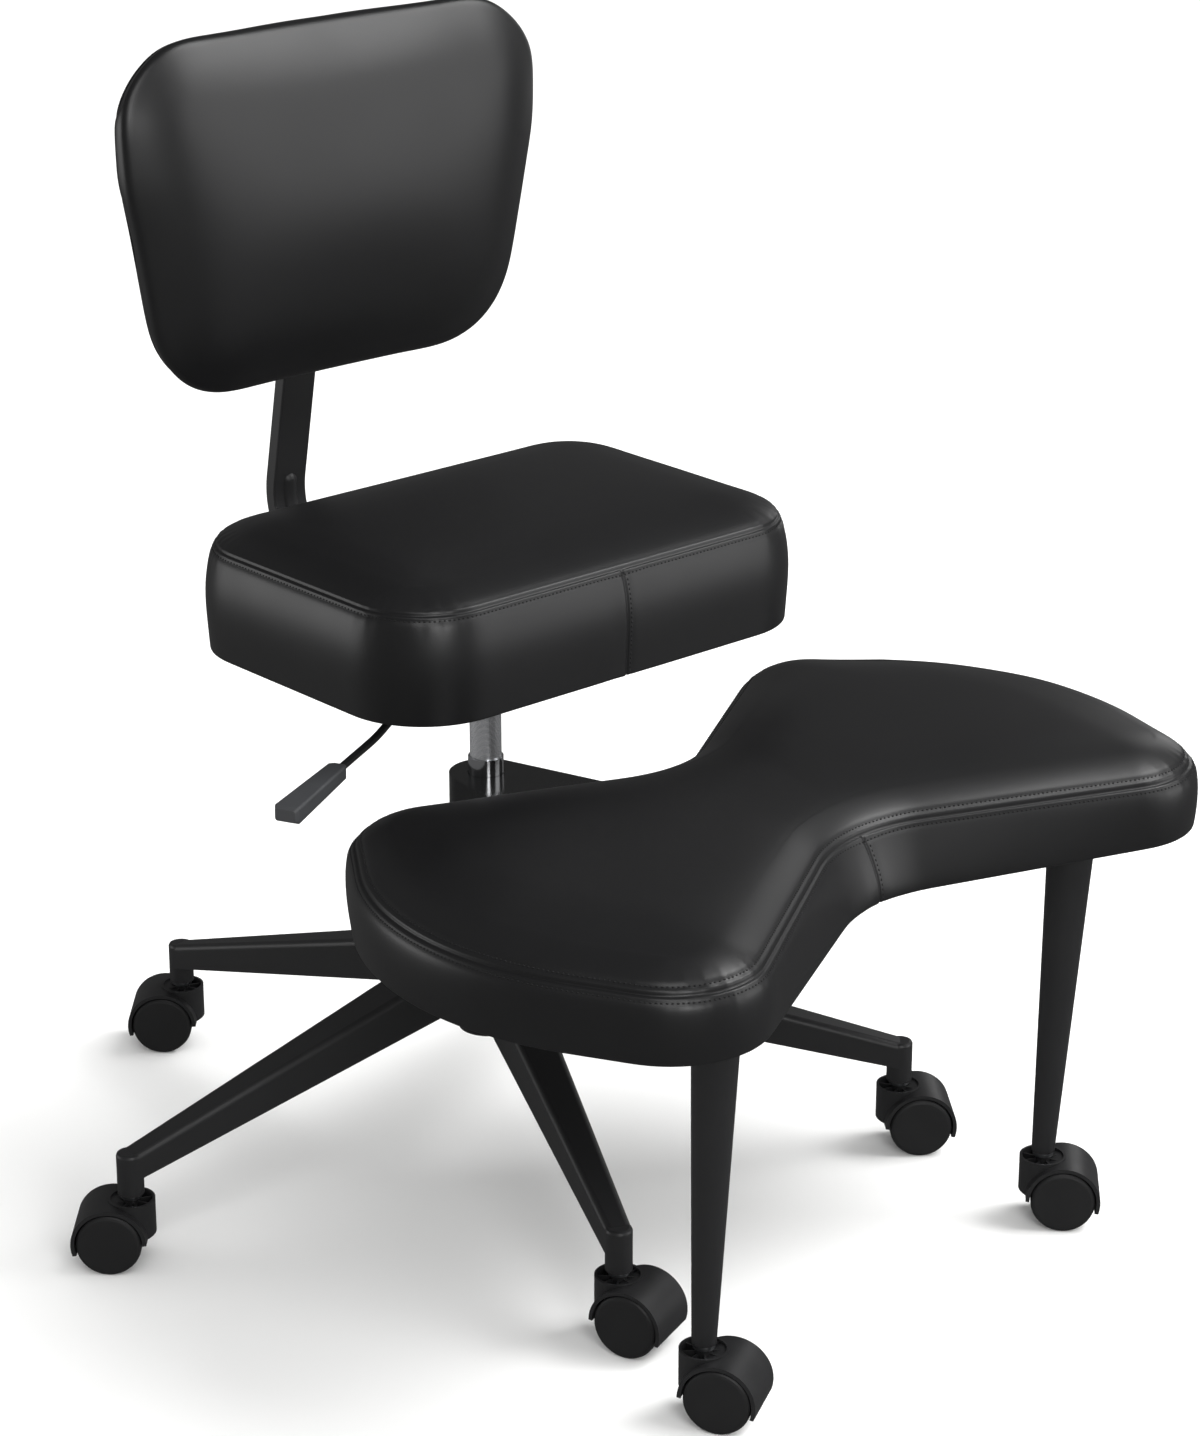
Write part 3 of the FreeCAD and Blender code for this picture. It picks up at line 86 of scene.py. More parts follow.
class ChairSeams(bpy.types.PropertyGroup):
    """Seams, stitching and piping of the pads."""
    seam_depth: measure("Seam depth", "How far a seam is drawn into the pad", 2.2)
    lip: measure("Seam lip", "From a seam to the rounded lip on either side", 1.3)
    lip_height: measure("Lip height", "How far the lips stand proud", 0.3)
    row_depth: measure("Row depth", "How far a row of stitches sinks in", 0.8)
    row_half: measure("Row half width", "Half the width of a row's furrow", 1.1)
    row_gap: measure("Row gap", "From a seam to its row of stitches", 4.6)
    stitch_pitch: measure("Stitch pitch", "From one stitch to the next", 3.6)
    stitch_length: measure("Stitch length", "Length of one stitch", 2.4)
    stitch_thick: measure("Thread thickness", "Thickness of the thread", 1.0)
    piping: measure("Piping", "Diameter of the back pad's edge piping", 4.0)
    pucker: measure("Pucker", "Height of the gathers at the corner seams", 0.35)
    pucker_pitch: measure("Pucker pitch", "From one gather to the next", 8.0)
    pucker_reach: measure("Pucker reach", "How far a gather runs from its seam", 16.0)


class ChairStuffing(bpy.types.PropertyGroup):
    """How the covers are stuffed."""
    spacing: measure("Mesh spacing", "Spacing of the cover's mesh before it is smoothed", 5.0)
    fullness: measure("Seat fullness", "How far the seat's crown stands over its solid", 3.0)
    rim_roll: measure("Rim roll", "How far the back pad's rim rolls into its face", 38.0)
    roll: measure("Edge roll", "How soon a face rises from its seam to its crown", 17.0)
    pressure: FloatProperty(name="Pressure", description="Pressure of the filling", default=4.0)
    swell: measure("Swell", "The most that a point of a cover may move", 7.0)
    frames: IntProperty(name="Frames", description="Steps of the cloth simulation", default=20)
    even: IntProperty(name="Evening rounds", description="How often the cover is evened out", default=40)
    spread: IntProperty(name="Spreading rounds", description="How often the swelling is spread", default=120)


class ChairColours(bpy.types.PropertyGroup):
    """Colours of the finishes."""
    leather: tint("Leather", "Cover of the pads", "101011")
    thread: tint("Thread", "Stitching", "0c0c0d")
    coat: tint("Powder coat", "Base, column and back bar", "1b1b1c")
    enamel: tint("Enamel", "Footrest bracket", "0d0d0e")
    chrome: tint("Chrome", "Gas spring and its ring", "d4d5d8")
    zinc: tint("Zinc", "Stems, axles and small steel parts", "b4b6b9")
    hood: tint("Caster hoods", "Moulded hoods", "1a1a1b")
    wheel: tint("Caster wheels", "Moulded wheels", "151516")
    grip: tint("Lever grip", "Grip of the height lever", "333436")


class ChairStudio(bpy.types.PropertyGroup):
    """Camera and lights."""
    lens: FloatProperty(name="Lens", description="Focal length on a 36 mm high sensor, in millimetres",
                        default=96.12)
    eye: FloatVectorProperty(name="Camera place", description="Where the camera stands",
                             subtype="TRANSLATION", default=(-1.7867, -2.1430, 1.4220))
    target: FloatVectorProperty(name="Camera target", description="What the camera looks at",
                                subtype="TRANSLATION", default=(0.11925, 0.0, 0.33975))
    key: FloatProperty(name="Key light", description="Strength of the soft light from above the right side",
                       default=2.5)
    boxes: FloatProperty(name="Soft boxes", description="Brightness of the boxes that the leather mirrors",
                         default=3.0)
    sky: FloatProperty(name="Sky", description="Strength of the even light all round", default=0.72)
    mirrored: FloatProperty(name="Mirrored sky", description="Strength of the sky in glossy pieces",
                            default=0.12)
    floor: tint("Floor", "Studio floor", "f4f4f3")


# Selection and meshes
def only(piece):
    """Select one object and make it active."""
    bpy.ops.object.select_all(action="DESELECT")
    piece.select_set(True)
    bpy.context.view_layer.objects.active = piece


def mesh_piece(name, points, faces):
    """A new object with this mesh, at the origin."""
    mesh = bpy.data.meshes.new(name)
    mesh.from_pydata([tuple(point) for point in points], [], faces)
    piece = bpy.data.objects.new(name, mesh)
    bpy.context.scene.collection.objects.link(piece)
    only(piece)
    return piece


def places_of(piece):
    """The mesh's points as an array."""
    flat = np.empty(3 * len(piece.data.vertices), np.float32)
    piece.data.vertices.foreach_get("co", flat)
    return flat.reshape(-1, 3).astype(float)


def move_points(piece, places):
    """Put the mesh's points at new places."""
    piece.data.vertices.foreach_set("co", np.asarray(places, np.float32).ravel())
    piece.data.update()


def normals_of(piece):
    """The mesh's normals at its points as an array."""
    flat = np.empty(3 * len(piece.data.vertices), np.float32)
    piece.data.vertex_normals.foreach_get("vector", flat)
    return flat.reshape(-1, 3).astype(float)


def finish_mesh(piece, levels):
    """Turn the faces outwards, smooth by subdivision and shade smoothly."""
    only(piece)
    bpy.ops.object.mode_set(mode="EDIT")
    bpy.ops.mesh.select_all(action="SELECT")
    bpy.ops.mesh.normals_make_consistent(inside=False)
    bpy.ops.object.mode_set(mode="OBJECT")
    if levels:
        smooth = piece.modifiers.new("smooth", "SUBSURF")
        smooth.levels = levels
        smooth.render_levels = levels
        bpy.ops.object.modifier_apply(modifier=smooth.name)
    bpy.ops.object.shade_smooth()


# Nodes
def add(tree, kind, settings=None, links=None):
    """Add a node, set its properties by name and its sockets by name or number, and link its inputs."""
    node = tree.nodes.new(kind)
    for name, value in (settings or {}).items():
        if isinstance(name, str) and hasattr(node, name):
            setattr(node, name, value)
        else:
            node.inputs[name].default_value = value
    for name, source in (links or {}).items():
        tree.links.new(source, node.inputs[name])
    return node


def per_metre(millimetres):
    """Texture scale at which one cell has this size."""
    return 1000.0 / millimetres


def shaded(colour, share):
    """A colour made lighter or darker by a share, with full alpha."""
    return (*[min(part * share, 1.0) for part in colour], 1.0)


class Finish:
    """A material in the making: its tree, its shader and the piece's own coordinates."""

    def __init__(self, name, sockets=None):
        """Start a material, with the values that are the same all over the piece."""
        self.material = bpy.data.materials.new(name)
        self.material.use_nodes = True
        self.tree = self.material.node_tree
        self.shader = self.tree.nodes["Principled BSDF"]
        for socket, value in (sockets or {}).items():
            self.shader.inputs[socket].default_value = value
        self.place = add(self.tree, "ShaderNodeTexCoord").outputs["Object"]

    def feed(self, socket, source):
        """Let one of the shader's sockets follow a pattern."""
        self.tree.links.new(source, self.shader.inputs[socket])

    def pattern(self, kind, settings, output="Fac"):
        """What a texture or another node makes of the piece's own coordinates."""
        return add(self.tree, kind, settings, {"Vector": self.place}).outputs[output]

    def blend(self, source, low, high):
        """Base colour between two colours, as a pattern has it."""
        mix = add(self.tree, "ShaderNodeMix", {"data_type": "RGBA", 6: low, 7: high}, {"Factor": source})
        self.feed("Base Color", mix.outputs[2])

    def mottle(self, colour, spread, size):
        """Base colour that drifts a little from place to place, and the pattern that it follows."""
        cloud = self.pattern("ShaderNodeTexNoise", {"Scale": per_metre(size), "Detail": 3.0})
        self.blend(cloud, shaded(colour, 1 - spread), shaded(colour, 1 + spread))
        return cloud

    def gloss(self, source, dull, bright):
        """Roughness that follows a pattern between two values."""
        span = add(self.tree, "ShaderNodeMapRange", {"To Min": bright, "To Max": dull}, {"Value": source})
        self.feed("Roughness", span.outputs["Result"])

    def relief(self, source, strength, depth):
        """Bump of a real depth in millimetres."""
        bump = add(self.tree, "ShaderNodeBump", {"Strength": strength, "Distance": depth * MM},
                   {"Height": source})
        self.feed("Normal", bump.outputs["Normal"])


# Finishes
def leather_finish(colours):
    """Polyurethane leather, embossed and lacquered: fine pebbles break up broad, soft highlights."""
    finish = Finish("smooth_leather", {"IOR": 1.5})
    finish.gloss(finish.mottle(colours.leather, 0.12, 70.0), 0.43, 0.35)
    # The real pebbles are about half a millimetre wide; drawn wider so that they show
    pebbles = finish.pattern("ShaderNodeTexVoronoi", {"Scale": per_metre(1.3), "feature": "SMOOTH_F1"},
                             "Distance")
    finish.relief(pebbles, 0.10, 0.2)
    return finish.material


def thread_finish(colours):
    """Bonded polyester thread: a dull black twist against the glossy leather."""
    finish = Finish("polyester_thread", {"Roughness": 0.75})
    finish.mottle(colours.thread, 0.25, 2.0)
    twist = finish.pattern("ShaderNodeTexWave", {"Scale": per_metre(0.9) / math.tau, "Distortion": 1.5})
    finish.relief(twist, 0.4, 0.1)
    return finish.material


def powder_coat(finish, colours, roughness):
    """Baked powder coat on steel: satin black with a very fine orange peel."""
    finish.mottle(colours.coat, 0.10, 45.0)
    peel = finish.pattern("ShaderNodeTexNoise", {"Scale": per_metre(1.1), "Detail": 4.0})
    finish.gloss(peel, roughness + 0.05, roughness - 0.05)
    finish.relief(peel, 0.22, 0.12)
    return finish.material


def column_finish(colours, ring_foot):
    """The column is powder coated up to its cap, and the guide ring on top is chromed."""
    finish = Finish("coated_column")
    powder_coat(finish, colours, 0.42)
    height = finish.pattern("ShaderNodeSeparateXYZ", None, "Z")
    above = add(finish.tree, "ShaderNodeMath", {"operation": "GREATER_THAN", 1: ring_foot}, {0: height})
    bare = above.outputs[0]
    painted = finish.shader.inputs["Base Color"].links[0].from_socket
    colour = add(finish.tree, "ShaderNodeMix", {"data_type": "RGBA", 7: (*colours.chrome, 1.0)},
                 {"Factor": bare, 6: painted})
    finish.feed("Base Color", colour.outputs[2])
    dull = finish.shader.inputs["Roughness"].links[0].from_socket
    gloss = add(finish.tree, "ShaderNodeMix", {"data_type": "FLOAT", "B": 0.12}, {"Factor": bare, "A": dull})
    finish.feed("Roughness", gloss.outputs[0])
    finish.feed("Metallic", bare)
    return finish.material


def enamel_finish(colours):
    """Gloss black enamel, dipped and baked: clear reflections over a faint long peel."""
    finish = Finish("gloss_enamel")
    finish.mottle(colours.enamel, 0.08, 60.0)
    peel = finish.pattern("ShaderNodeTexNoise", {"Scale": per_metre(5.0), "Detail": 2.0})
    finish.gloss(peel, 0.18, 0.11)
    finish.relief(peel, 0.06, 0.2)
    return finish.material


def chrome_finish(colours):
    """Ground and chromed tube: mirror bright along its length, with fine lines round it."""
    finish = Finish("hard_chrome", {"Metallic": 0.8})
    finish.mottle(colours.chrome, 0.03, 30.0)
    # Grinding lines are a few hundredths wide; drawn at half a millimetre
    lines = finish.pattern("ShaderNodeTexWave", {"Scale": per_metre(0.5) / math.tau, "bands_direction": "Z",
                                                 "Distortion": 0.6})
    finish.gloss(lines, 0.30, 0.22)
    finish.relief(lines, 0.03, 0.05)
    return finish.material


def zinc_finish(colours):
    """Bright zinc plate on turned steel: a soft grey metal with cloudy patches."""
    finish = Finish("zinc_plate", {"Metallic": 1.0})
    cloud = finish.mottle(colours.zinc, 0.08, 6.0)
    finish.gloss(cloud, 0.38, 0.22)
    finish.relief(cloud, 0.05, 0.1)
    return finish.material


def oxide_finish():
    """Black oxide on steel bolts: near black with an oily lustre."""
    finish = Finish("black_oxide", {"Metallic": 0.7})
    cloud = finish.mottle(linear("202022"), 0.2, 4.0)
    finish.gloss(cloud, 0.42, 0.28)
    finish.relief(cloud, 0.08, 0.1)
    return finish.material


def nylon_finish(name, colour, roughness, grain):
    """Moulded glass-filled nylon: spark-eroded grain from the tool and slightly cloudy gloss."""
    finish = Finish(name)
    finish.gloss(finish.mottle(colour, 0.12, 18.0), roughness + 0.06, roughness - 0.06)
    # Tool grain is about a tenth of a millimetre; drawn coarser so that it shows
    pits = finish.pattern("ShaderNodeTexNoise", {"Scale": per_metre(grain), "Detail": 4.0, "Roughness": 0.7})
    finish.relief(pits, 0.25, 0.12)
    return finish.material


def acetal_finish():
    """Natural acetal bushes and washers: milky white, waxy and faintly turned."""
    finish = Finish("natural_acetal", {"Subsurface Weight": 0.1, "Subsurface Radius": (0.002, 0.002, 0.0015)})
    finish.gloss(finish.mottle(linear("e4e1d8"), 0.03, 12.0), 0.42, 0.32)
    turning = finish.pattern("ShaderNodeTexWave", {"Scale": per_metre(0.6) / math.tau,
                                                   "bands_direction": "Z"})
    finish.relief(turning, 0.05, 0.05)
    return finish.material


def plywood_finish():
    """Plywood stained black: long open grain shows through a thin, dull stain."""
    finish = Finish("stained_plywood")
    finish.place = finish.pattern("ShaderNodeMapping", {"Scale": (0.08, 1.0, 1.0)}, "Vector")
    grain = finish.pattern("ShaderNodeTexNoise", {"Scale": per_metre(2.5), "Detail": 6.0, "Roughness": 0.65})
    finish.blend(grain, (*linear("121110"), 1.0), (*linear("2b2724"), 1.0))
    finish.gloss(grain, 0.8, 0.6)
    finish.relief(grain, 0.3, 0.2)
    return finish.material


def shell_finish():
    """Pressed fibreboard back with a black, leather-grained foil: dull with a pebbled relief."""
    finish = Finish("grained_board")
    finish.gloss(finish.mottle(linear("171718"), 0.12, 40.0), 0.66, 0.54)
    pebbles = finish.pattern("ShaderNodeTexVoronoi", {"Scale": per_metre(2.2), "feature": "SMOOTH_F1"},
                             "Distance")
    finish.relief(pebbles, 0.3, 0.25)
    return finish.material


def wear(material, *pieces):
    """Give pieces one finish."""
    for piece in pieces:
        piece.data.materials.clear()
        piece.data.materials.append(material)


def paint(material, *names):
    """Give CAD nodes one finish in their own material slots."""
    for name in names:
        node = NODES[name]
        if not node.material_slots:
            node.data.materials.append(material)
        for slot in node.material_slots:
            slot.material = material


# Outlines of the pads
FINE = 2400
OUTLINE_EASE = 12
CORNERS = ((-1, -1), (1, -1), (1, 1), (-1, 1))
# Shares of a step towards the neighbours' middle and back again, which smooth without shrinking
EASING = (0.5, -0.52)
# How far points lie from a band seam before and after they are drawn together, in millimetres
GATHER_FROM = (0.0, 5.0, 10.0, 15.0, 20.0, 40.0, 2000.0)
GATHER_TO = (0.0, 1.3, 3.4, 5.6, 10.0, 40.0, 2000.0)


def solid_probe(node, to_flat):
    """Search tree and points of a soft solid, turned so that its cover faces up."""
    flat = places_of(NODES[node]) @ to_flat.T
    faces = [tuple(face.vertices) for face in NODES[node].data.polygons]
    return BVHTree.FromPolygons([tuple(point) for point in flat], faces), flat


def seam_loop(node, height):
    """Outer outline of a solid at a height, as an array of x and y."""
    cut = bmesh.new()
    cut.from_mesh(NODES[node].data)
    bmesh.ops.remove_doubles(cut, verts=cut.verts, dist=MERGE)
    bmesh.ops.bisect_plane(cut, geom=[*cut.verts, *cut.edges, *cut.faces], plane_co=(0, 0, height),
                           plane_no=(0, 0, 1), clear_inner=True, clear_outer=True)
    # Kept in order, so that each run starts at the same edge
    free = dict.fromkeys(cut.edges)
    chains = []
    while free:
        edge, _ = free.popitem()
        chain = list(edge.verts)
        following = edge
        while following:
            following = next((e for e in chain[-1].link_edges if e in free), None)
            if following:
                del free[following]
                chain.append(following.other_vert(chain[-1]))
        chains.append(np.array([vert.co[:2] for vert in chain[:-1]]))
    cut.free()
    return max(chains, key=lambda chain: np.ptp(chain[:, 0]))


def hull_loop(flat):
    """Outline of a rounded solid seen square on, as an array of two coordinates."""
    pairs = [tuple(point) for point in flat[:, :2]]
    return np.array([pairs[index] for index in convex_hull_2d(pairs)])


def counter_clockwise(loop):
    """The outline, turned round if it runs clockwise."""
    area = np.sum(loop[:, 0] * np.roll(loop[:, 1], -1) - np.roll(loop[:, 0], -1) * loop[:, 1])
    return loop if area > 0 else loop[::-1]


def along(loop, count, closed=True):
    """Evenly spaced points along a line."""
    line = np.vstack([loop, loop[:1]]) if closed else loop
    lengths = np.concatenate([[0.0], np.cumsum(np.linalg.norm(np.diff(line, axis=0), axis=1))])
    marks = np.linspace(0.0, lengths[-1], count + 1)
    points = np.stack([np.interp(marks, lengths, line[:, axis]) for axis in range(line.shape[1])], axis=1)
    return points[:-1] if closed else points


def eased(loop, rounds):
    """Smooth a closed line without shrinking it."""
    for _ in range(rounds):
        for push in EASING:
            middle = (np.roll(loop, 1, axis=0) + np.roll(loop, -1, axis=0)) / 2
            loop = loop + push * (middle - loop)
    return loop


def gathered(marks, middle):
    """Marks along a side, drawn together round one of them so that a narrow seam can lie there."""
    away = marks - marks[middle]
    near = np.array(GATHER_FROM) * MM
    return marks[middle] + np.sign(away) * np.interp(np.abs(away), near, np.array(GATHER_TO) * MM)


def four_sides(loop, spacing, seam_x=None):
    """A closed outline as points on four sides between its corners, and the sides' counts.

    A band seam in the front side, at a place across, draws the points near it together.
    """
    fine = eased(along(counter_clockwise(loop), FINE), OUTLINE_EASE)
    marks = [int(np.argmax(fine @ np.array(way))) for way in CORNERS]
    sides = []
    for start, end in zip(marks, marks[1:] + marks[:1]):
        span = (end - start) % FINE
        sides.append(fine[(start + np.arange(span + 1)) % FINE])
    lengths = [np.sum(np.linalg.norm(np.diff(side, axis=0), axis=1)) for side in sides]
    across = round((lengths[0] + lengths[2]) / 2 / spacing)
    deep = round((lengths[1] + lengths[3]) / 2 / spacing)
    counts = (across, deep, across, deep)
    points = [along(side, count, False)[:-1] for side, count in zip(sides, counts)]
    if seam_x is None:
        return np.vstack(points), across, deep
    marks = np.linspace(0.0, lengths[0], across + 1)
    steps = np.concatenate([[0.0], np.cumsum(np.linalg.norm(np.diff(sides[0], axis=0), axis=1))])
    column = int(np.argmin(np.abs(points[0][:, 0] - seam_x)))
    marks = gathered(marks, column)[:-1]
    points[0] = np.stack([np.interp(marks, steps, sides[0][:, axis]) for axis in range(2)], axis=1)
    return np.vstack(points), across, deep, column


def outward(loop):
    """Unit normals of a counter-clockwise outline."""
    run = np.roll(loop, -1, axis=0) - np.roll(loop, 1, axis=0)
    normal = np.stack([run[:, 1], -run[:, 0]], axis=1)
    return normal / np.linalg.norm(normal, axis=1, keepdims=True)


# Rings of points on a soft solid
def drop(probe, points, down=-1):
    """Points moved along the facing direction on to the solid; a miss takes its neighbours' height."""
    heights = np.full(len(points), np.nan)
    for index, (x, y) in enumerate(points):
        hit = probe.ray_cast(Vector((x, y, -FAR * down)), Vector((0, 0, down)))[0]
        if hit is not None:
            heights[index] = hit.z
    found = np.flatnonzero(~np.isnan(heights))
    if len(found) < len(points) / 2:
        raise RuntimeError("a cover's points miss their solid")
    filled = np.interp(np.arange(len(points)), found, heights[found], period=len(points))
    return np.column_stack([points, filled])


def around(probe, loop, normals, height, start):
    """Points on the solid's side at a height, cast outwards from inside the cover."""
    placed = []
    for (x, y), (nx, ny) in zip(loop - normals * start, normals):
        hit = probe.ray_cast(Vector((x, y, height)), Vector((nx, ny, 0)))[0]
        if hit is None:
            raise RuntimeError("a cover's side misses its solid")
        placed.append(tuple(hit))
    return np.array(placed)


def level(points, height):
    """Points laid at one height, or each at its own."""
    return np.column_stack([points, np.full(len(points), height)])


def patch(ring, across, deep):
    """Grid of points inside a ring of four sides, blended from its sides."""
    front = ring[:across + 1]
    right = ring[across:across + deep + 1]
    back = ring[across + deep:2 * across + deep + 1][::-1]
    left = np.vstack([ring[2 * across + deep:], ring[:1]])[::-1]
    u = np.linspace(0, 1, across + 1)[None, :, None]
    v = np.linspace(0, 1, deep + 1)[:, None, None]
    flat = ((1 - v) * front[None] + v * back[None] + (1 - u) * left[:, None] + u * right[:, None]
            - (1 - u) * (1 - v) * front[0] - u * (1 - v) * front[-1]
            - (1 - u) * v * back[0] - u * v * back[-1])
    return flat[1:-1, 1:-1]


class Cover:
    """Points and faces of a cover, built ring by ring from the middle of its face."""

    def __init__(self, across, deep):
        self.across = across
        self.deep = deep
        self.count = 2 * (across + deep)
        self.points = []
        self.faces = []
        self.rings = {}
        self.last = None

    def ring(self, name, points):
        """Add a ring of points, joined to the one before it."""
        first = len(self.points)
        self.points.extend(points)
        here = np.arange(first, first + self.count)
        if self.last is not None:
            for a, b, c, d in zip(self.last, np.roll(self.last, -1), np.roll(here, -1), here):
                self.faces.append((int(a), int(d), int(c), int(b)))
        self.rings[name] = here
        self.last = here

    def fill(self, points):
        """Close the last ring with a grid of points."""
        across = self.across
        deep = self.deep
        ring = self.last
        index = np.empty((deep + 1, across + 1), int)
        index[0] = ring[:across + 1]
        index[:, -1] = ring[across:across + deep + 1]
        index[-1] = ring[across + deep:2 * across + deep + 1][::-1]
        index[:, 0] = np.concatenate([ring[2 * across + deep:], ring[:1]])[::-1]
        first = len(self.points)
        index[1:-1, 1:-1] = first + np.arange((deep - 1) * (across - 1)).reshape(deep - 1, across - 1)
        self.points.extend(points.reshape(-1, points.shape[-1]))
        for row in range(deep):
            for column in range(across):
                self.faces.append((int(index[row, column]), int(index[row, column + 1]),
                                   int(index[row + 1, column + 1]), int(index[row + 1, column])))


# Stuffing, with the stiffness of a coated leather cloth
LEATHER_CLOTH = {"quality": 5, "mass": 0.3, "tension_stiffness": 20, "compression_stiffness": 20,
                 "shear_stiffness": 10, "bending_stiffness": 5, "use_pressure": True}


def evened(piece, values, held, pushes):
    """Even values out over a mesh by pushes towards the neighbours' middle, except at the held points."""
    pairs = np.empty(2 * len(piece.data.edges), np.int32)
    piece.data.edges.foreach_get("vertices", pairs)
    one, two = pairs.reshape(-1, 2).T
    size = len(values)
    count = np.bincount(pairs, minlength=size)[:, None]
    free = np.ones((size, 1), bool)
    free[held] = False
    for push in pushes:
        total = np.stack([np.bincount(one, side[two], size) + np.bincount(two, side[one], size)
                          for side in values.T], axis=1)
        values = np.where(free, values + push * (total / count - values), values)
    return values


def stuffed(piece, held, stuffing):
    """Even the cover, blow it up with cloth under pressure, held at its seams, and limit the swelling.

    The swelling is evened too, as a backing of firm foam does under taut leather.
    """
    start = evened(piece, places_of(piece), held, EASING * stuffing.even)
    move_points(piece, start)
    group = piece.vertex_groups.new(name="held")
    group.add([int(i) for i in held], 1.0, "REPLACE")
    cloth = piece.modifiers.new("stuffing", "CLOTH")
    for setting, value in LEATHER_CLOTH.items():
        setattr(cloth.settings, setting, value)
    cloth.settings.vertex_group_mass = group.name
    cloth.settings.uniform_pressure_force = stuffing.pressure
    cloth.settings.effector_weights.gravity = 0
    cloth.collision_settings.use_collision = False
    cloth.point_cache.frame_start = 1
    cloth.point_cache.frame_end = stuffing.frames
    for step in range(1, stuffing.frames + 1):
        bpy.context.scene.frame_set(step)
    only(piece)
    bpy.ops.object.modifier_apply(modifier=cloth.name)
    bpy.context.scene.frame_set(1)
    shift = evened(piece, places_of(piece) - start, held, EASING[:1] * stuffing.spread)
    length = np.linalg.norm(shift, axis=1, keepdims=True) + MERGE
    move_points(piece, start + shift * (np.tanh(length / stuffing.swell) * stuffing.swell / length))
    piece.vertex_groups.clear()


def drawn_in(piece, rings, depths):
    """Pull rings of points into the pad along its normals."""
    places = places_of(piece)
    normals = normals_of(piece)
    for ring, depth in zip(rings, depths):
        places[ring] -= normals[ring] * depth
    move_points(piece, places)


def surface_of(piece):
    """Search tree of a finished piece."""
    faces = [tuple(face.vertices) for face in piece.data.polygons]
    return BVHTree.FromPolygons([tuple(point) for point in places_of(piece)], faces)


# Stitching: how much wider than thick a laid thread is, how far its ends dive and how proud it lies
THREAD_WIDTH = 1.25
THREAD_DIVE = 0.5
THREAD_PROUD = 0.15


def stitch_shape(seams):
    """Points and faces of one stitch along X: a thread that dives into the leather at both ends."""
    bpy.ops.object.select_all(action="DESELECT")
    bpy.ops.mesh.primitive_uv_sphere_add(segments=8, ring_count=5, radius=0.5, location=(0, 0, 0))
    stitch = bpy.context.active_object
    bpy.ops.object.mode_set(mode="EDIT")
    bpy.ops.mesh.select_all(action="SELECT")
    bpy.ops.transform.rotate(value=math.pi / 2, orient_axis="Y", center_override=(0, 0, 0))
    thick = seams.stitch_thick
    bpy.ops.transform.resize(value=(seams.stitch_length, THREAD_WIDTH * thick, thick))
    bpy.ops.object.mode_set(mode="OBJECT")
    points = places_of(stitch)
    points[:, 2] -= thick * (points[:, 0] / (seams.stitch_length / 2)) ** 2 * THREAD_DIVE
    faces = [tuple(face.vertices) for face in stitch.data.polygons]
    mesh = stitch.data
    bpy.data.objects.remove(stitch)
    bpy.data.meshes.remove(mesh)
    return points, faces


def stitched(name, surface, rows, seams, finish):
    """One mesh with a stitch at each step along the rows, lying on the cover."""
    shape, shape_faces = stitch_shape(seams)
    points = []
    faces = []
    for row, closed in rows:
        ends = np.vstack([row, row[:1]]) if closed else row
        length = np.sum(np.linalg.norm(np.diff(ends, axis=0), axis=1))
        steps = along(row, max(round(length / seams.stitch_pitch), 1), closed)
        ahead = np.roll(steps, -1, axis=0) if closed else steps[1:]
        for here, there in zip(steps, ahead):
            middle = Vector((here + there) / 2)
            place, normal, _, _ = surface.find_nearest(middle)
            run = Vector(there - here)
            run = (run - normal * run.dot(normal)).normalized()
            axes = np.array([run, normal.cross(run), normal])
            first = len(points)
            points.extend(shape @ axes + np.array(place + normal * (THREAD_PROUD * seams.stitch_thick)))
            faces.extend(tuple(first + i for i in face) for face in shape_faces)
    piece = mesh_piece(name, points, faces)
    finish_mesh(piece, 0)
    wear(finish, piece)
    return piece


# Pads, with sizes in millimetres
FLAT_UP = np.eye(3)
FLAT_BACK = np.array([[1.0, 0.0, 0.0], [0.0, 0.0, 1.0], [0.0, -1.0, 0.0]])
# Heights of the main seams, how far below them their outlines are cut, and where the footrest's band is sewn
SEAM_HEIGHTS = {"seat_cushion": 531.0, "footrest_cushion": 374.0}
SEAM_CUT = 0.4
FOOT_SEAM_X = 40.0
# Rings from the seam into the face, up from the foot and, as shares, under the pad to its board
FACE_STEPS = (24.0, 17.0, 12.0, 8.4)
FOOT_STEPS = (18.0, 9.0, 4.0, 1.5, 0.4)
UNDER_SHARES = (0.35, 0.7)
# How far inside the seam the rays start that find the band, and the room round a board
SIDE_START = 8.0
POCKET_ROOM = 0.3
# A band seam: columns of points to its row, depth as a share of the main seam's, and its stitched rings
SEAM_COLUMNS = 2
BAND_SHARE = 0.7
BAND_STITCHED = slice(3, -2)
# A corner gathers the leather from a share of this bend, in radians per metre, measured over some points
BEND_FULL = 14.0
BEND_FREE = 0.3
BEND_REACH = 4
# Gathers aren't quite even: by how much of a pitch they drift, and over how many
DRIFT_SHARE = 0.6
DRIFT_PITCHES = 3.7
# Rings of the back pad, from its face to its rim and round to the pocket of its board, and how they are eased
RIM_STEPS = (30.0, 21.0, 14.0, 9.0, 5.0, 2.2, 0.6)
RIM_FLAT = 15.0
RIM_HELD = 5
PIPING_INSET = 5.0
PIPING_SUNK = 0.8
REAR_STEPS = (0.6, 2.2, PIPING_INSET, 9.0, 12.5)
POCKET_INSIDE = 3.0
CALM_ROUNDS = 120
OUTLINE_ROUNDS = 200
FACE_ROUNDS = 30


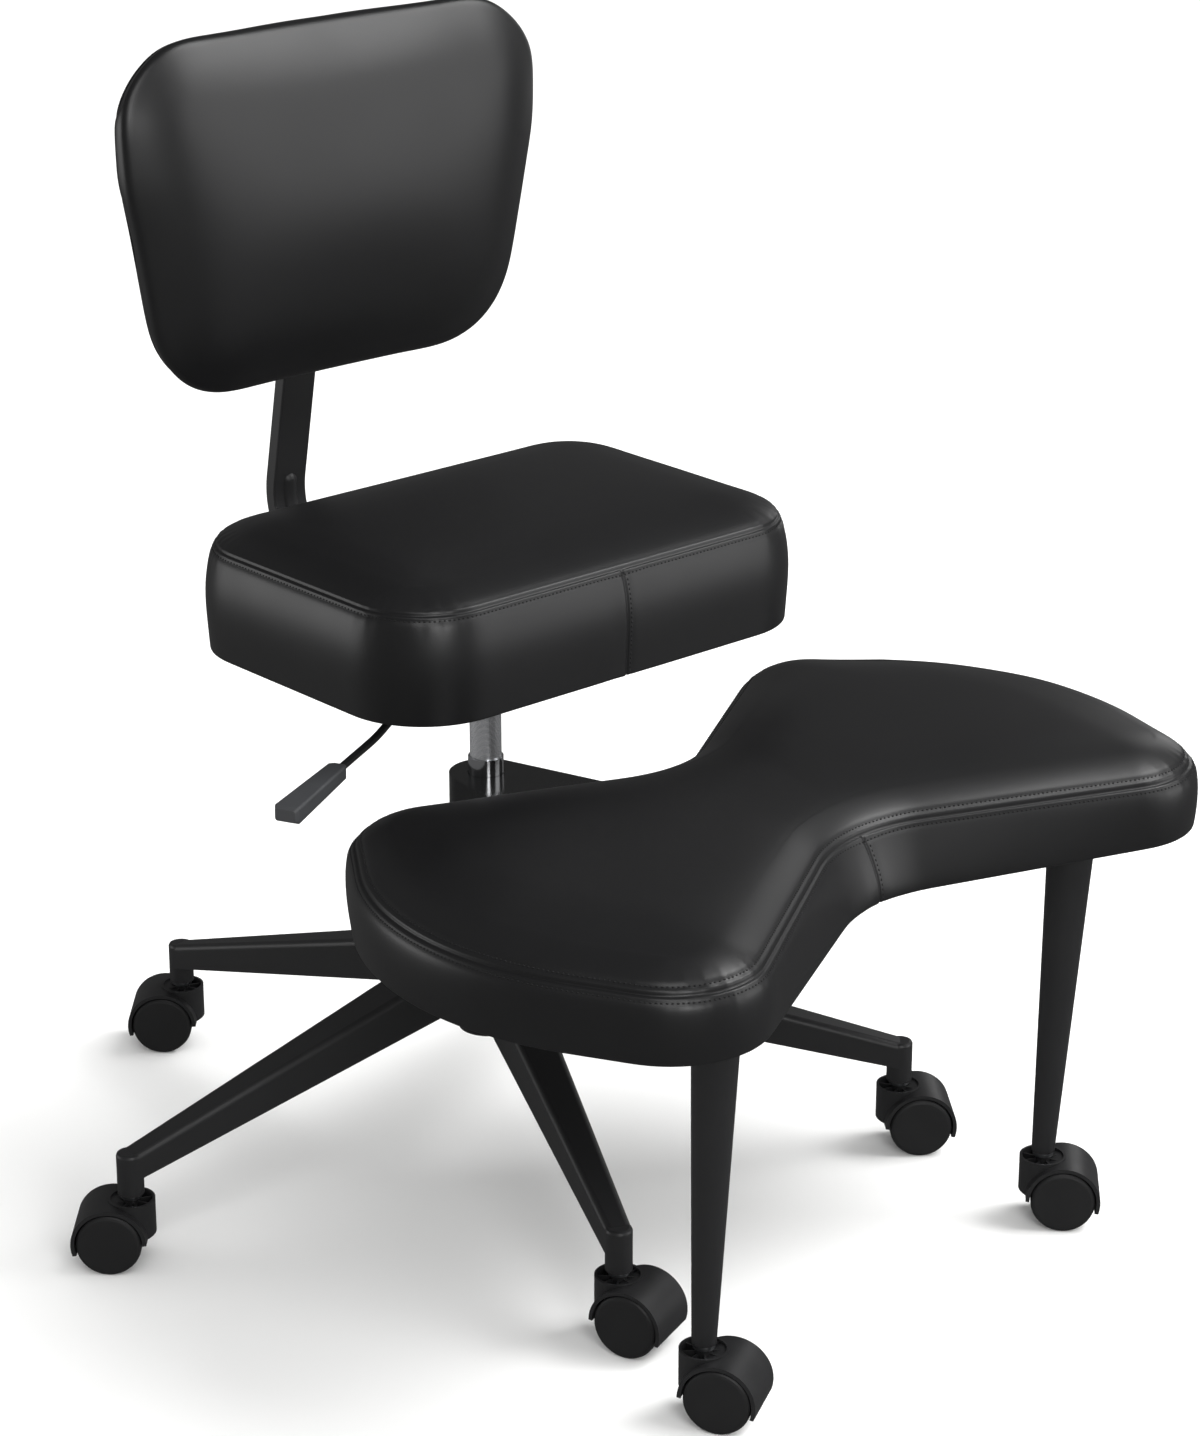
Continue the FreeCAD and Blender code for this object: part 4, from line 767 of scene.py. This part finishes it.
def nearest(points, loop):
    """How far points lie from a line, and which of the line's points is nearest to each."""
    tree = KDTree(len(loop))
    for index, place in enumerate(loop):
        tree.insert((*place, 0.0), index)
    tree.balance()
    found = [tree.find((x, y, 0.0)) for x, y in points]
    return np.array([hit[2] for hit in found]), np.array([hit[1] for hit in found])


def boxed_cover(node, board, seams, stuffing, seam, seam_x, fullness):
    """Rings of a pad with a side band: crowned face, seam, swelling band and a foot folded under the board.

    Also gives the seam's outline, the band seam's place in each ring and the number of rings on the band.
    """
    probe, _ = solid_probe(node, FLAT_UP)
    low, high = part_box(node)
    outline = seam_loop(node, seam - SEAM_CUT * MM)
    loop, across, deep, column = four_sides(outline, stuffing.spacing, seam_x)
    normals = outward(loop)
    cover = Cover(across, deep)
    row = seams.row_gap
    beside = (row + seams.row_half, row, row - seams.row_half, seams.lip)
    beside_names = ("outer", "row", "inner", "lip")
    crown = high.z - seam + fullness

    def crowned(points, insets):
        """Points of the face, which rises steeply at its seam and then ever more gently."""
        rise = 1 - np.exp(-insets / stuffing.roll)
        return level(points, seam + crown * rise)

    inner = loop - normals * FACE_STEPS[0] * MM
    cover.ring("face", crowned(inner, FACE_STEPS[0] * MM))
    grid = patch(inner, across, deep).reshape(-1, 2)
    middle = crowned(grid, nearest(grid, loop)[0])
    for number, step in enumerate(FACE_STEPS[1:], 1):
        cover.ring(f"face {number}", crowned(loop - normals * step * MM, step * MM))
    for ring_name, step in zip(beside_names, beside):
        cover.ring(f"{ring_name} above", crowned(loop - normals * step, step))
    cover.ring("seam", level(loop, seam))
    for ring_name, step in zip(beside_names[::-1], beside[::-1]):
        cover.ring(f"{ring_name} below", around(probe, loop, normals, seam - step, SIDE_START * MM))
    first = seam - 2 * row
    foot_start = low.z + FOOT_STEPS[0] * MM
    count = max(round((first - foot_start) / (2 * stuffing.spacing)), 1)
    heights = [*np.linspace(first, foot_start, count + 1), *[low.z + step * MM for step in FOOT_STEPS[1:]]]
    for number, height in enumerate(heights):
        cover.ring(f"band {number}", around(probe, loop, normals, height, SIDE_START * MM))
    foot = np.array(cover.points)[cover.last][:, :2]
    pocket = board_edge(board, loop, normals)
    for share in UNDER_SHARES:
        cover.ring(f"under {share}", level(foot + (pocket - foot) * share, low.z))
    cover.ring("pocket", level(pocket, low.z))
    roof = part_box(board)[1].z + POCKET_ROOM * MM
    cover.ring("pocket top", level(pocket, roof))
    cover.fill(level(patch(pocket, across, deep).reshape(-1, 2), roof))
    cover.last = cover.rings["face"]
    cover.fill(middle)
    return cover, loop, column, len(heights)


def boxed_pad(name, node, board, scene, seam_x, both_rows, fullness=0.0):
    """A pad with a side band, stuffed and sewn, and the lines that its stitches follow."""
    seams = scene.chair_seams
    stuffing = scene.chair_stuffing
    seam = SEAM_HEIGHTS[node] * MM
    cover, loop, column, bands = boxed_cover(node, board, seams, stuffing, seam, seam_x, fullness)
    piece = mesh_piece(name, cover.points, cover.faces)
    finish_mesh(piece, 0)
    rings = cover.rings
    sewn = ["lip above", "seam", "lip below"]
    still = [key for key in rings if key.startswith(("under", "pocket"))] + [f"band {bands - 1}"]
    band_column = [rings[f"band {number}"][column + step] for number in range(bands - 1)
                   for step in range(-SEAM_COLUMNS - 1, SEAM_COLUMNS + 2)]
    held = np.concatenate([*[rings[key] for key in sewn + still], band_column])
    stuffed(piece, held, stuffing)
    sides = ("above", "below") if both_rows else ("below",)
    drawn_in(piece, [rings["seam"]] + [rings[f"row {side}"] for side in sides]
             + [rings["lip above"], rings["lip below"]],
             [seams.seam_depth] + [seams.row_depth] * len(sides) + [-seams.lip_height] * 2)
    band = ["lip below", "inner below", "row below", "outer below"]
    band += [f"band {number}" for number in range(bands)] + [f"under {UNDER_SHARES[0]}"]
    seam_column = np.array([rings[key][column] for key in band])
    row_column = np.array([rings[key][column + SEAM_COLUMNS] for key in band])
    drawn_in(piece, [seam_column, row_column], [BAND_SHARE * seams.seam_depth, BAND_SHARE * seams.row_depth])
    places = places_of(piece)
    lines = [(places[rings[f"row {side}"]], True) for side in sides]
    lines.append((places[row_column[BAND_STITCHED]], False))
    finish_mesh(piece, 1)
    pucker(piece, loop, seam, seams)
    return piece, lines


def pucker(piece, loop, seam, seams):
    """Gather the leather where its seam goes round a convex corner."""
    turn = np.roll(loop, -1, axis=0) - loop
    heading = np.unwrap(np.arctan2(turn[:, 1], turn[:, 0]))
    step = np.linalg.norm(turn, axis=1)
    bend = np.gradient(heading) / step
    window = 2 * BEND_REACH + 1
    closed = np.concatenate([bend[-BEND_REACH:], bend, bend[:BEND_REACH]])
    bend = np.convolve(closed, np.ones(window) / window, mode="valid")
    share = np.clip(bend / BEND_FULL - BEND_FREE, 0.0, 1.0)
    length = np.cumsum(step)
    places = places_of(piece)
    gap, near = nearest(places[:, :2], loop)
    away = np.hypot(gap, places[:, 2] - seam)
    fade = np.clip(1 - away / (seams.row_gap + seams.pucker_reach), 0, 1)
    fade *= np.clip(away / seams.row_gap, 0, 1)
    drift = DRIFT_SHARE * np.sin(length[near] / (DRIFT_PITCHES * seams.pucker_pitch))
    wave = np.cos(math.tau * (length[near] / seams.pucker_pitch + drift))
    rise = seams.pucker * wave * fade * share[near]
    move_points(piece, places + normals_of(piece) * rise[:, None])


def board_edge(board, loop, normals):
    """The board's edge, a little wide, at the same places round the pad as the outline."""
    probe, _ = solid_probe(board, FLAT_UP)
    low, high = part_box(board)
    edge = []
    for (x, y), (nx, ny) in zip(loop, normals):
        hit = probe.ray_cast(Vector((x, y, (low.z + high.z) / 2)), Vector((-nx, -ny, 0)))[0]
        if hit is None:
            raise RuntimeError("a pad's board isn't under its outline")
        edge.append((hit.x + nx * POCKET_ROOM * MM, hit.y + ny * POCKET_ROOM * MM))
    return np.array(edge)


def calmed(heights):
    """Heights round a closed line, averaged with their neighbours'."""
    for _ in range(CALM_ROUNDS):
        heights = (np.roll(heights, 1) + 2 * heights + np.roll(heights, -1)) / 4
    return heights


def back_cover(stuffing):
    """Rings of the back pad: a crowned front that rolls round its rim to a flat edge round the board."""
    probe, flat = solid_probe("back_cushion", FLAT_BACK)
    _, board_flat = solid_probe("back_board", FLAT_BACK)
    loop, across, deep = four_sides(hull_loop(flat), stuffing.spacing)
    loop = eased(loop, OUTLINE_ROUNDS)
    normals = outward(loop)
    cover = Cover(across, deep)
    edge_ring = loop - normals * RIM_STEPS[-1] * MM
    rim = calmed((drop(probe, edge_ring)[:, 2] + drop(probe, edge_ring, 1)[:, 2]) / 2)

    def rolled(points, fronts, insets, beside):
        """Points of the front, which rises roundly from the rim's middle to the solid's crown."""
        rise = np.sqrt(1 - np.exp(-2 * insets / stuffing.rim_roll))
        return level(points, rim[beside] + (fronts - rim[beside]) * rise)

    inner = loop - normals * RIM_STEPS[0] * MM
    grid = patch(inner, across, deep).reshape(-1, 2)
    gaps, beside = nearest(grid, loop)
    level_inside = drop(probe, inner)[:, 2]
    lift = (calmed(level_inside) - level_inside)[beside] * np.exp(1 - gaps / (RIM_STEPS[0] * MM))
    middle = rolled(grid, drop(probe, grid)[:, 2] + lift, gaps, beside)
    every = np.arange(len(loop))
    for number, step in enumerate(RIM_STEPS):
        fronts = calmed(drop(probe, loop - normals * max(step, RIM_FLAT) * MM)[:, 2])
        cover.ring(f"face {number}", rolled(loop - normals * step * MM, fronts, step * MM, every))
    cover.ring("rim", level(loop, rim))
    for step in REAR_STEPS:
        behind = drop(probe, loop - normals * step * MM, 1)
        cover.ring(f"back {step}", behind)
    edge = counter_clockwise(hull_loop(board_flat))
    pocket = cast_to_line(loop, normals, edge) + normals * POCKET_ROOM * MM
    cover.ring("pocket", level(pocket, behind[:, 2]))
    well = pocket - normals * POCKET_INSIDE * MM
    cover.ring("pocket floor", level(pocket, drop(probe, well, 1)[:, 2]))
    cover.fill(drop(probe, patch(well, across, deep).reshape(-1, 2), 1))
    cover.last = cover.rings["face 0"]
    cover.fill(middle)
    return cover


def back_pad(stuffing):
    """The back pad, stuffed, and the line that its piping follows."""
    cover = back_cover(stuffing)
    points = np.array(cover.points) @ FLAT_BACK
    piece = mesh_piece("back_pad", points, cover.faces)
    finish_mesh(piece, 0)
    rings = cover.rings
    first_held = int(rings[f"face {RIM_HELD}"][0])
    last_held = int(rings["pocket floor"][-1]) + (cover.across - 1) * (cover.deep - 1)
    held = np.arange(first_held, last_held + 1)
    move_points(piece, evened(piece, places_of(piece), held, EASING[:1] * FACE_ROUNDS))
    stuffed(piece, held, stuffing)
    piping = rings[f"back {PIPING_INSET}"]
    drawn_in(piece, [piping], [PIPING_SUNK * MM])
    line = places_of(piece)[piping]
    finish_mesh(piece, 1)
    return piece, line


def cast_to_line(loop, normals, edge):
    """Where the inward normals of an outline first meet a closed line inside it."""
    runs = np.roll(edge, -1, axis=0) - edge
    met = []
    for point, normal in zip(loop, normals):
        gap = edge - point
        cross = -normal[0] * runs[:, 1] + normal[1] * runs[:, 0]
        cross = np.where(np.abs(cross) < 1e-12, np.nan, cross)
        reach = (gap[:, 0] * runs[:, 1] - gap[:, 1] * runs[:, 0]) / cross
        share = (gap[:, 0] * -normal[1] - gap[:, 1] * -normal[0]) / cross
        good = (reach > 0) & (share >= -1e-6) & (share <= 1 + 1e-6)
        met.append(point - normal * np.nanmin(np.where(good, reach, np.nan)))
    return np.array(met)


def piped(name, line, diameter):
    """A leather-covered cord along a closed line."""
    curve = bpy.data.curves.new(name, "CURVE")
    curve.dimensions = "3D"
    spline = curve.splines.new("POLY")
    spline.points.add(len(line) - 1)
    for point, place in zip(spline.points, line):
        point.co = (*place, 1.0)
    spline.use_cyclic_u = True
    curve.bevel_depth = diameter / 2
    curve.bevel_resolution = 2
    piece = bpy.data.objects.new(name, curve)
    bpy.context.scene.collection.objects.link(piece)
    only(piece)
    bpy.ops.object.convert(target="MESH")
    piece = bpy.context.active_object
    bpy.ops.object.shade_smooth()
    return piece


class ChairSeatPad(bpy.types.Operator):
    """Leather seat pad with its seam and stitching"""
    bl_idname = "chair.seat_pad"
    bl_label = "Seat pad"

    def execute(self, context):
        scene = context.scene
        leather = leather_finish(scene.chair_colours)
        thread = thread_finish(scene.chair_colours)
        pad, lines = boxed_pad("seat_pad", "seat_cushion", "seat_board", scene, 0.0, False,
                               scene.chair_stuffing.fullness)
        wear(leather, pad)
        rows = stitched("seat_stitching", surface_of(pad), lines, scene.chair_seams, thread)
        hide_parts("seat_cushion")
        for piece in (pad, rows):
            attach(piece, "seat")
        return {"FINISHED"}


class ChairFootrestPad(bpy.types.Operator):
    """Waisted leather footrest pad with its seam and two rows of stitching"""
    bl_idname = "chair.footrest_pad"
    bl_label = "Footrest pad"

    def execute(self, context):
        scene = context.scene
        pad, lines = boxed_pad("footrest_pad", "footrest_cushion", "footrest_board", scene, FOOT_SEAM_X * MM,
                               True)
        wear(bpy.data.materials["smooth_leather"], pad)
        rows = stitched("footrest_stitching", surface_of(pad), lines, scene.chair_seams,
                        bpy.data.materials["polyester_thread"])
        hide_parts("footrest_cushion")
        for piece in (pad, rows):
            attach(piece, "footrest")
        return {"FINISHED"}


class ChairBackPad(bpy.types.Operator):
    """Curved leather back pad with an edge piping"""
    bl_idname = "chair.back_pad"
    bl_label = "Back pad"

    def execute(self, context):
        scene = context.scene
        pad, rim = back_pad(scene.chair_stuffing)
        wear(bpy.data.materials["smooth_leather"], pad)
        cord = piped("back_piping", rim, scene.chair_seams.piping)
        wear(bpy.data.materials["smooth_leather"], cord)
        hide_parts("back_cushion")
        for piece in (pad, cord):
            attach(piece, "seat")
        return {"FINISHED"}


# Finishes of the solids
CASTERS = range(1, 8)


class ChairFrameFinish(bpy.types.Operator):
    """Paint on the base, the column, the legs, the bar and the bracket"""
    bl_idname = "chair.frame_finish"
    bl_label = "Frame"

    def execute(self, context):
        colours = context.scene.chair_colours
        paint(powder_coat(Finish("powder_coat"), colours, 0.46), "star_base", "seat_mechanism", "back_bar",
              "leg_plates")
        paint(powder_coat(Finish("satin_coat"), colours, 0.36), "footrest_leg_right", "footrest_leg_left",
              "height_lever")
        paint(enamel_finish(colours), "footrest_bracket")
        paint(column_finish(colours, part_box("bracket_washer")[1].z), "gas_column")
        paint(oxide_finish(), "seat_bolts", "back_bar_bolts", "back_pad_bolts", "bracket_bolts",
              "leg_plate_screws", "rod_clip")
        return {"FINISHED"}


class ChairLiftFinish(bpy.types.Operator):
    """Chrome, plated steel and plastic of the gas lift and the lever"""
    bl_idname = "chair.lift_finish"
    bl_label = "Gas lift and lever"

    def execute(self, context):
        colours = context.scene.chair_colours
        paint(chrome_finish(colours), "gas_spring_tube", "piston_rod")
        paint(acetal_finish(), "column_bush", "bracket_bush", "bracket_washer")
        paint(zinc_finish(colours), "thrust_bearing", "lever_pin", "release_button", "base_caster_stems",
              "footrest_caster_stems", *[f"caster_{number}_axle" for number in CASTERS])
        paint(nylon_finish("grip_plastic", colours.grip, 0.5, 0.9), "lever_grip")
        return {"FINISHED"}


class ChairCasterFinish(bpy.types.Operator):
    """Moulded nylon of the caster hoods and wheels"""
    bl_idname = "chair.caster_finish"
    bl_label = "Casters"

    def execute(self, context):
        colours = context.scene.chair_colours
        paint(nylon_finish("hood_nylon", colours.hood, 0.42, 0.8),
              *[f"caster_{number}_hood" for number in CASTERS])
        paint(nylon_finish("wheel_nylon", colours.wheel, 0.55, 1.1),
              *[f"caster_{number}_wheel_{side}" for number in CASTERS for side in ("left", "right")])
        return {"FINISHED"}


class ChairBoardFinish(bpy.types.Operator):
    """Boards under the pads and behind the back"""
    bl_idname = "chair.board_finish"
    bl_label = "Boards"

    def execute(self, context):
        paint(plywood_finish(), "seat_board", "footrest_board")
        paint(shell_finish(), "back_board")
        return {"FINISHED"}


# Studio
class ChairStage(bpy.types.Operator):
    """Pale floor, soft lights and the camera"""
    bl_idname = "chair.stage"
    bl_label = "Studio"

    def execute(self, context):
        scene = context.scene
        studio = scene.chair_studio
        scene.view_settings.view_transform = "Standard"
        self.floor(context, studio)
        self.sky(scene, studio)
        self.sun("key_light", studio.key, 44, (1.9, -1.3, 3.0))
        self.box("front_right_box", 0.75 * studio.boxes, (1.6, 1.7), (1.8, -2.15, 0.9), (0, -0.1, 0.55))
        self.box("front_left_box", 1.0 * studio.boxes, (1.2, 1.2), (-1.0, -1.5, 2.2), (0, 0.15, 0.8))
        self.box("left_low_box", 3.0 * studio.boxes, (0.7, 0.9), (-1.0, -2.4, 1.25), (0, 0.15, 0.8))
        self.box("high_right_box", 3.2 * studio.boxes, (1.0, 1.0), (1.5, -1.15, 2.3), (0, 0.15, 0.8))
        self.box("right_rim_box", 0.5 * studio.boxes, (0.5, 1.4), (2.4, 0.6, 1.0), (0, 0.1, 0.6))
        self.box("left_back_box", 0.9 * studio.boxes, (1.4, 1.0), (-1.9, 1.9, 0.55), (0, 0, 0.45))
        scene.camera = self.camera(studio)
        return {"FINISHED"}

    def floor(self, context, studio):
        """A wide pale floor, which the glossy pieces don't mirror."""
        bpy.ops.object.select_all(action="DESELECT")
        bpy.ops.mesh.primitive_plane_add(size=40.0, location=(0, 0, 0))
        floor = context.active_object
        floor.name = "studio_floor"
        finish = Finish("studio_floor")
        finish.gloss(finish.mottle(studio.floor, 0.004, 400.0), 0.95, 0.85)
        wear(finish.material, floor)
        floor.visible_glossy = False

    def sky(self, scene, studio):
        """Even light all round: as pale as the floor behind the chair, and dim in glossy pieces."""
        scene.world = scene.world or bpy.data.worlds.new("studio")
        scene.world.use_nodes = True
        tree = scene.world.node_tree
        backdrop = tree.nodes["Background"]
        backdrop.inputs["Color"].default_value = (1, 1, 1, 1)
        rays = add(tree, "ShaderNodeLightPath").outputs
        change = {"operation": "MULTIPLY_ADD", 1: studio.mirrored - studio.sky, 2: studio.sky}
        dimmed = add(tree, "ShaderNodeMath", change, {0: rays["Is Glossy Ray"]})
        behind = add(tree, "ShaderNodeMath", {"operation": "MULTIPLY_ADD", 1: 1.0 - studio.sky},
                     {0: rays["Is Camera Ray"], 2: dimmed.outputs[0]})
        tree.links.new(behind.outputs[0], backdrop.inputs["Strength"])

    def camera(self, studio):
        """A camera at the studio's place, with an upright frame."""
        camera = bpy.data.cameras.new("camera")
        camera.sensor_fit = "VERTICAL"
        camera.sensor_height = 36.0
        camera.lens = studio.lens
        camera.clip_end = 100.0
        return self.hang(camera, studio.eye, studio.target)

    def sun(self, name, strength, degrees, place):
        """A wide, soft light from far away, which the leather doesn't mirror."""
        light = bpy.data.lights.new(name, "SUN")
        light.energy = strength
        light.angle = math.radians(degrees)
        self.hang(light, place, (0, 0, 0)).visible_glossy = False

    def box(self, name, brightness, size, place, target):
        """A soft box of a given brightness, whatever its size."""
        light = bpy.data.lights.new(name, "AREA")
        light.shape = "RECTANGLE"
        light.size, light.size_y = size
        light.energy = brightness * math.pi * size[0] * size[1]
        self.hang(light, place, target).visible_camera = False

    @staticmethod
    def hang(data, place, target):
        """Put a light or camera at a place, facing a target."""
        thing = bpy.data.objects.new(data.name, data)
        bpy.context.scene.collection.objects.link(thing)
        thing.location = place
        thing.rotation_euler = (Vector(target) - Vector(place)).to_track_quat("-Z", "Y").to_euler()
        return thing


class ChairPanel(bpy.types.Panel):
    """Steps that dress the chair, in order"""
    bl_idname = "VIEW3D_PT_chair"
    bl_label = "Chair"
    bl_space_type = "VIEW_3D"
    bl_region_type = "UI"
    bl_category = "Chair"

    def draw(self, context):
        for group in GROUPS.values():
            settings = getattr(context.scene, group)
            for name in settings.bl_rna.properties.keys():
                if name not in ("rna_type", "name"):
                    self.layout.prop(settings, name)
        for step in STEPS:
            self.layout.operator(step.bl_idname)


GROUPS = {ChairSeams: "chair_seams", ChairStuffing: "chair_stuffing", ChairColours: "chair_colours",
          ChairStudio: "chair_studio"}
STEPS = (ChairSeatPad, ChairFootrestPad, ChairBackPad, ChairFrameFinish, ChairLiftFinish, ChairCasterFinish,
         ChairBoardFinish, ChairStage)


def register():
    for group, name in GROUPS.items():
        bpy.utils.register_class(group)
        setattr(bpy.types.Scene, name, PointerProperty(type=group))
    for part in (*STEPS, ChairPanel):
        bpy.utils.register_class(part)


def unregister():
    for part in reversed((*STEPS, ChairPanel)):
        bpy.utils.unregister_class(part)
    for group, name in GROUPS.items():
        delattr(bpy.types.Scene, name)
        bpy.utils.unregister_class(group)


def main():
    register()
    bpy.ops.object.select_all(action="DESELECT")
    bpy.ops.chair.seat_pad()
    bpy.ops.chair.footrest_pad()
    bpy.ops.chair.back_pad()
    bpy.ops.chair.frame_finish()
    bpy.ops.chair.lift_finish()
    bpy.ops.chair.caster_finish()
    bpy.ops.chair.board_finish()
    bpy.ops.chair.stage()


if __name__ == "__main__":
    main()
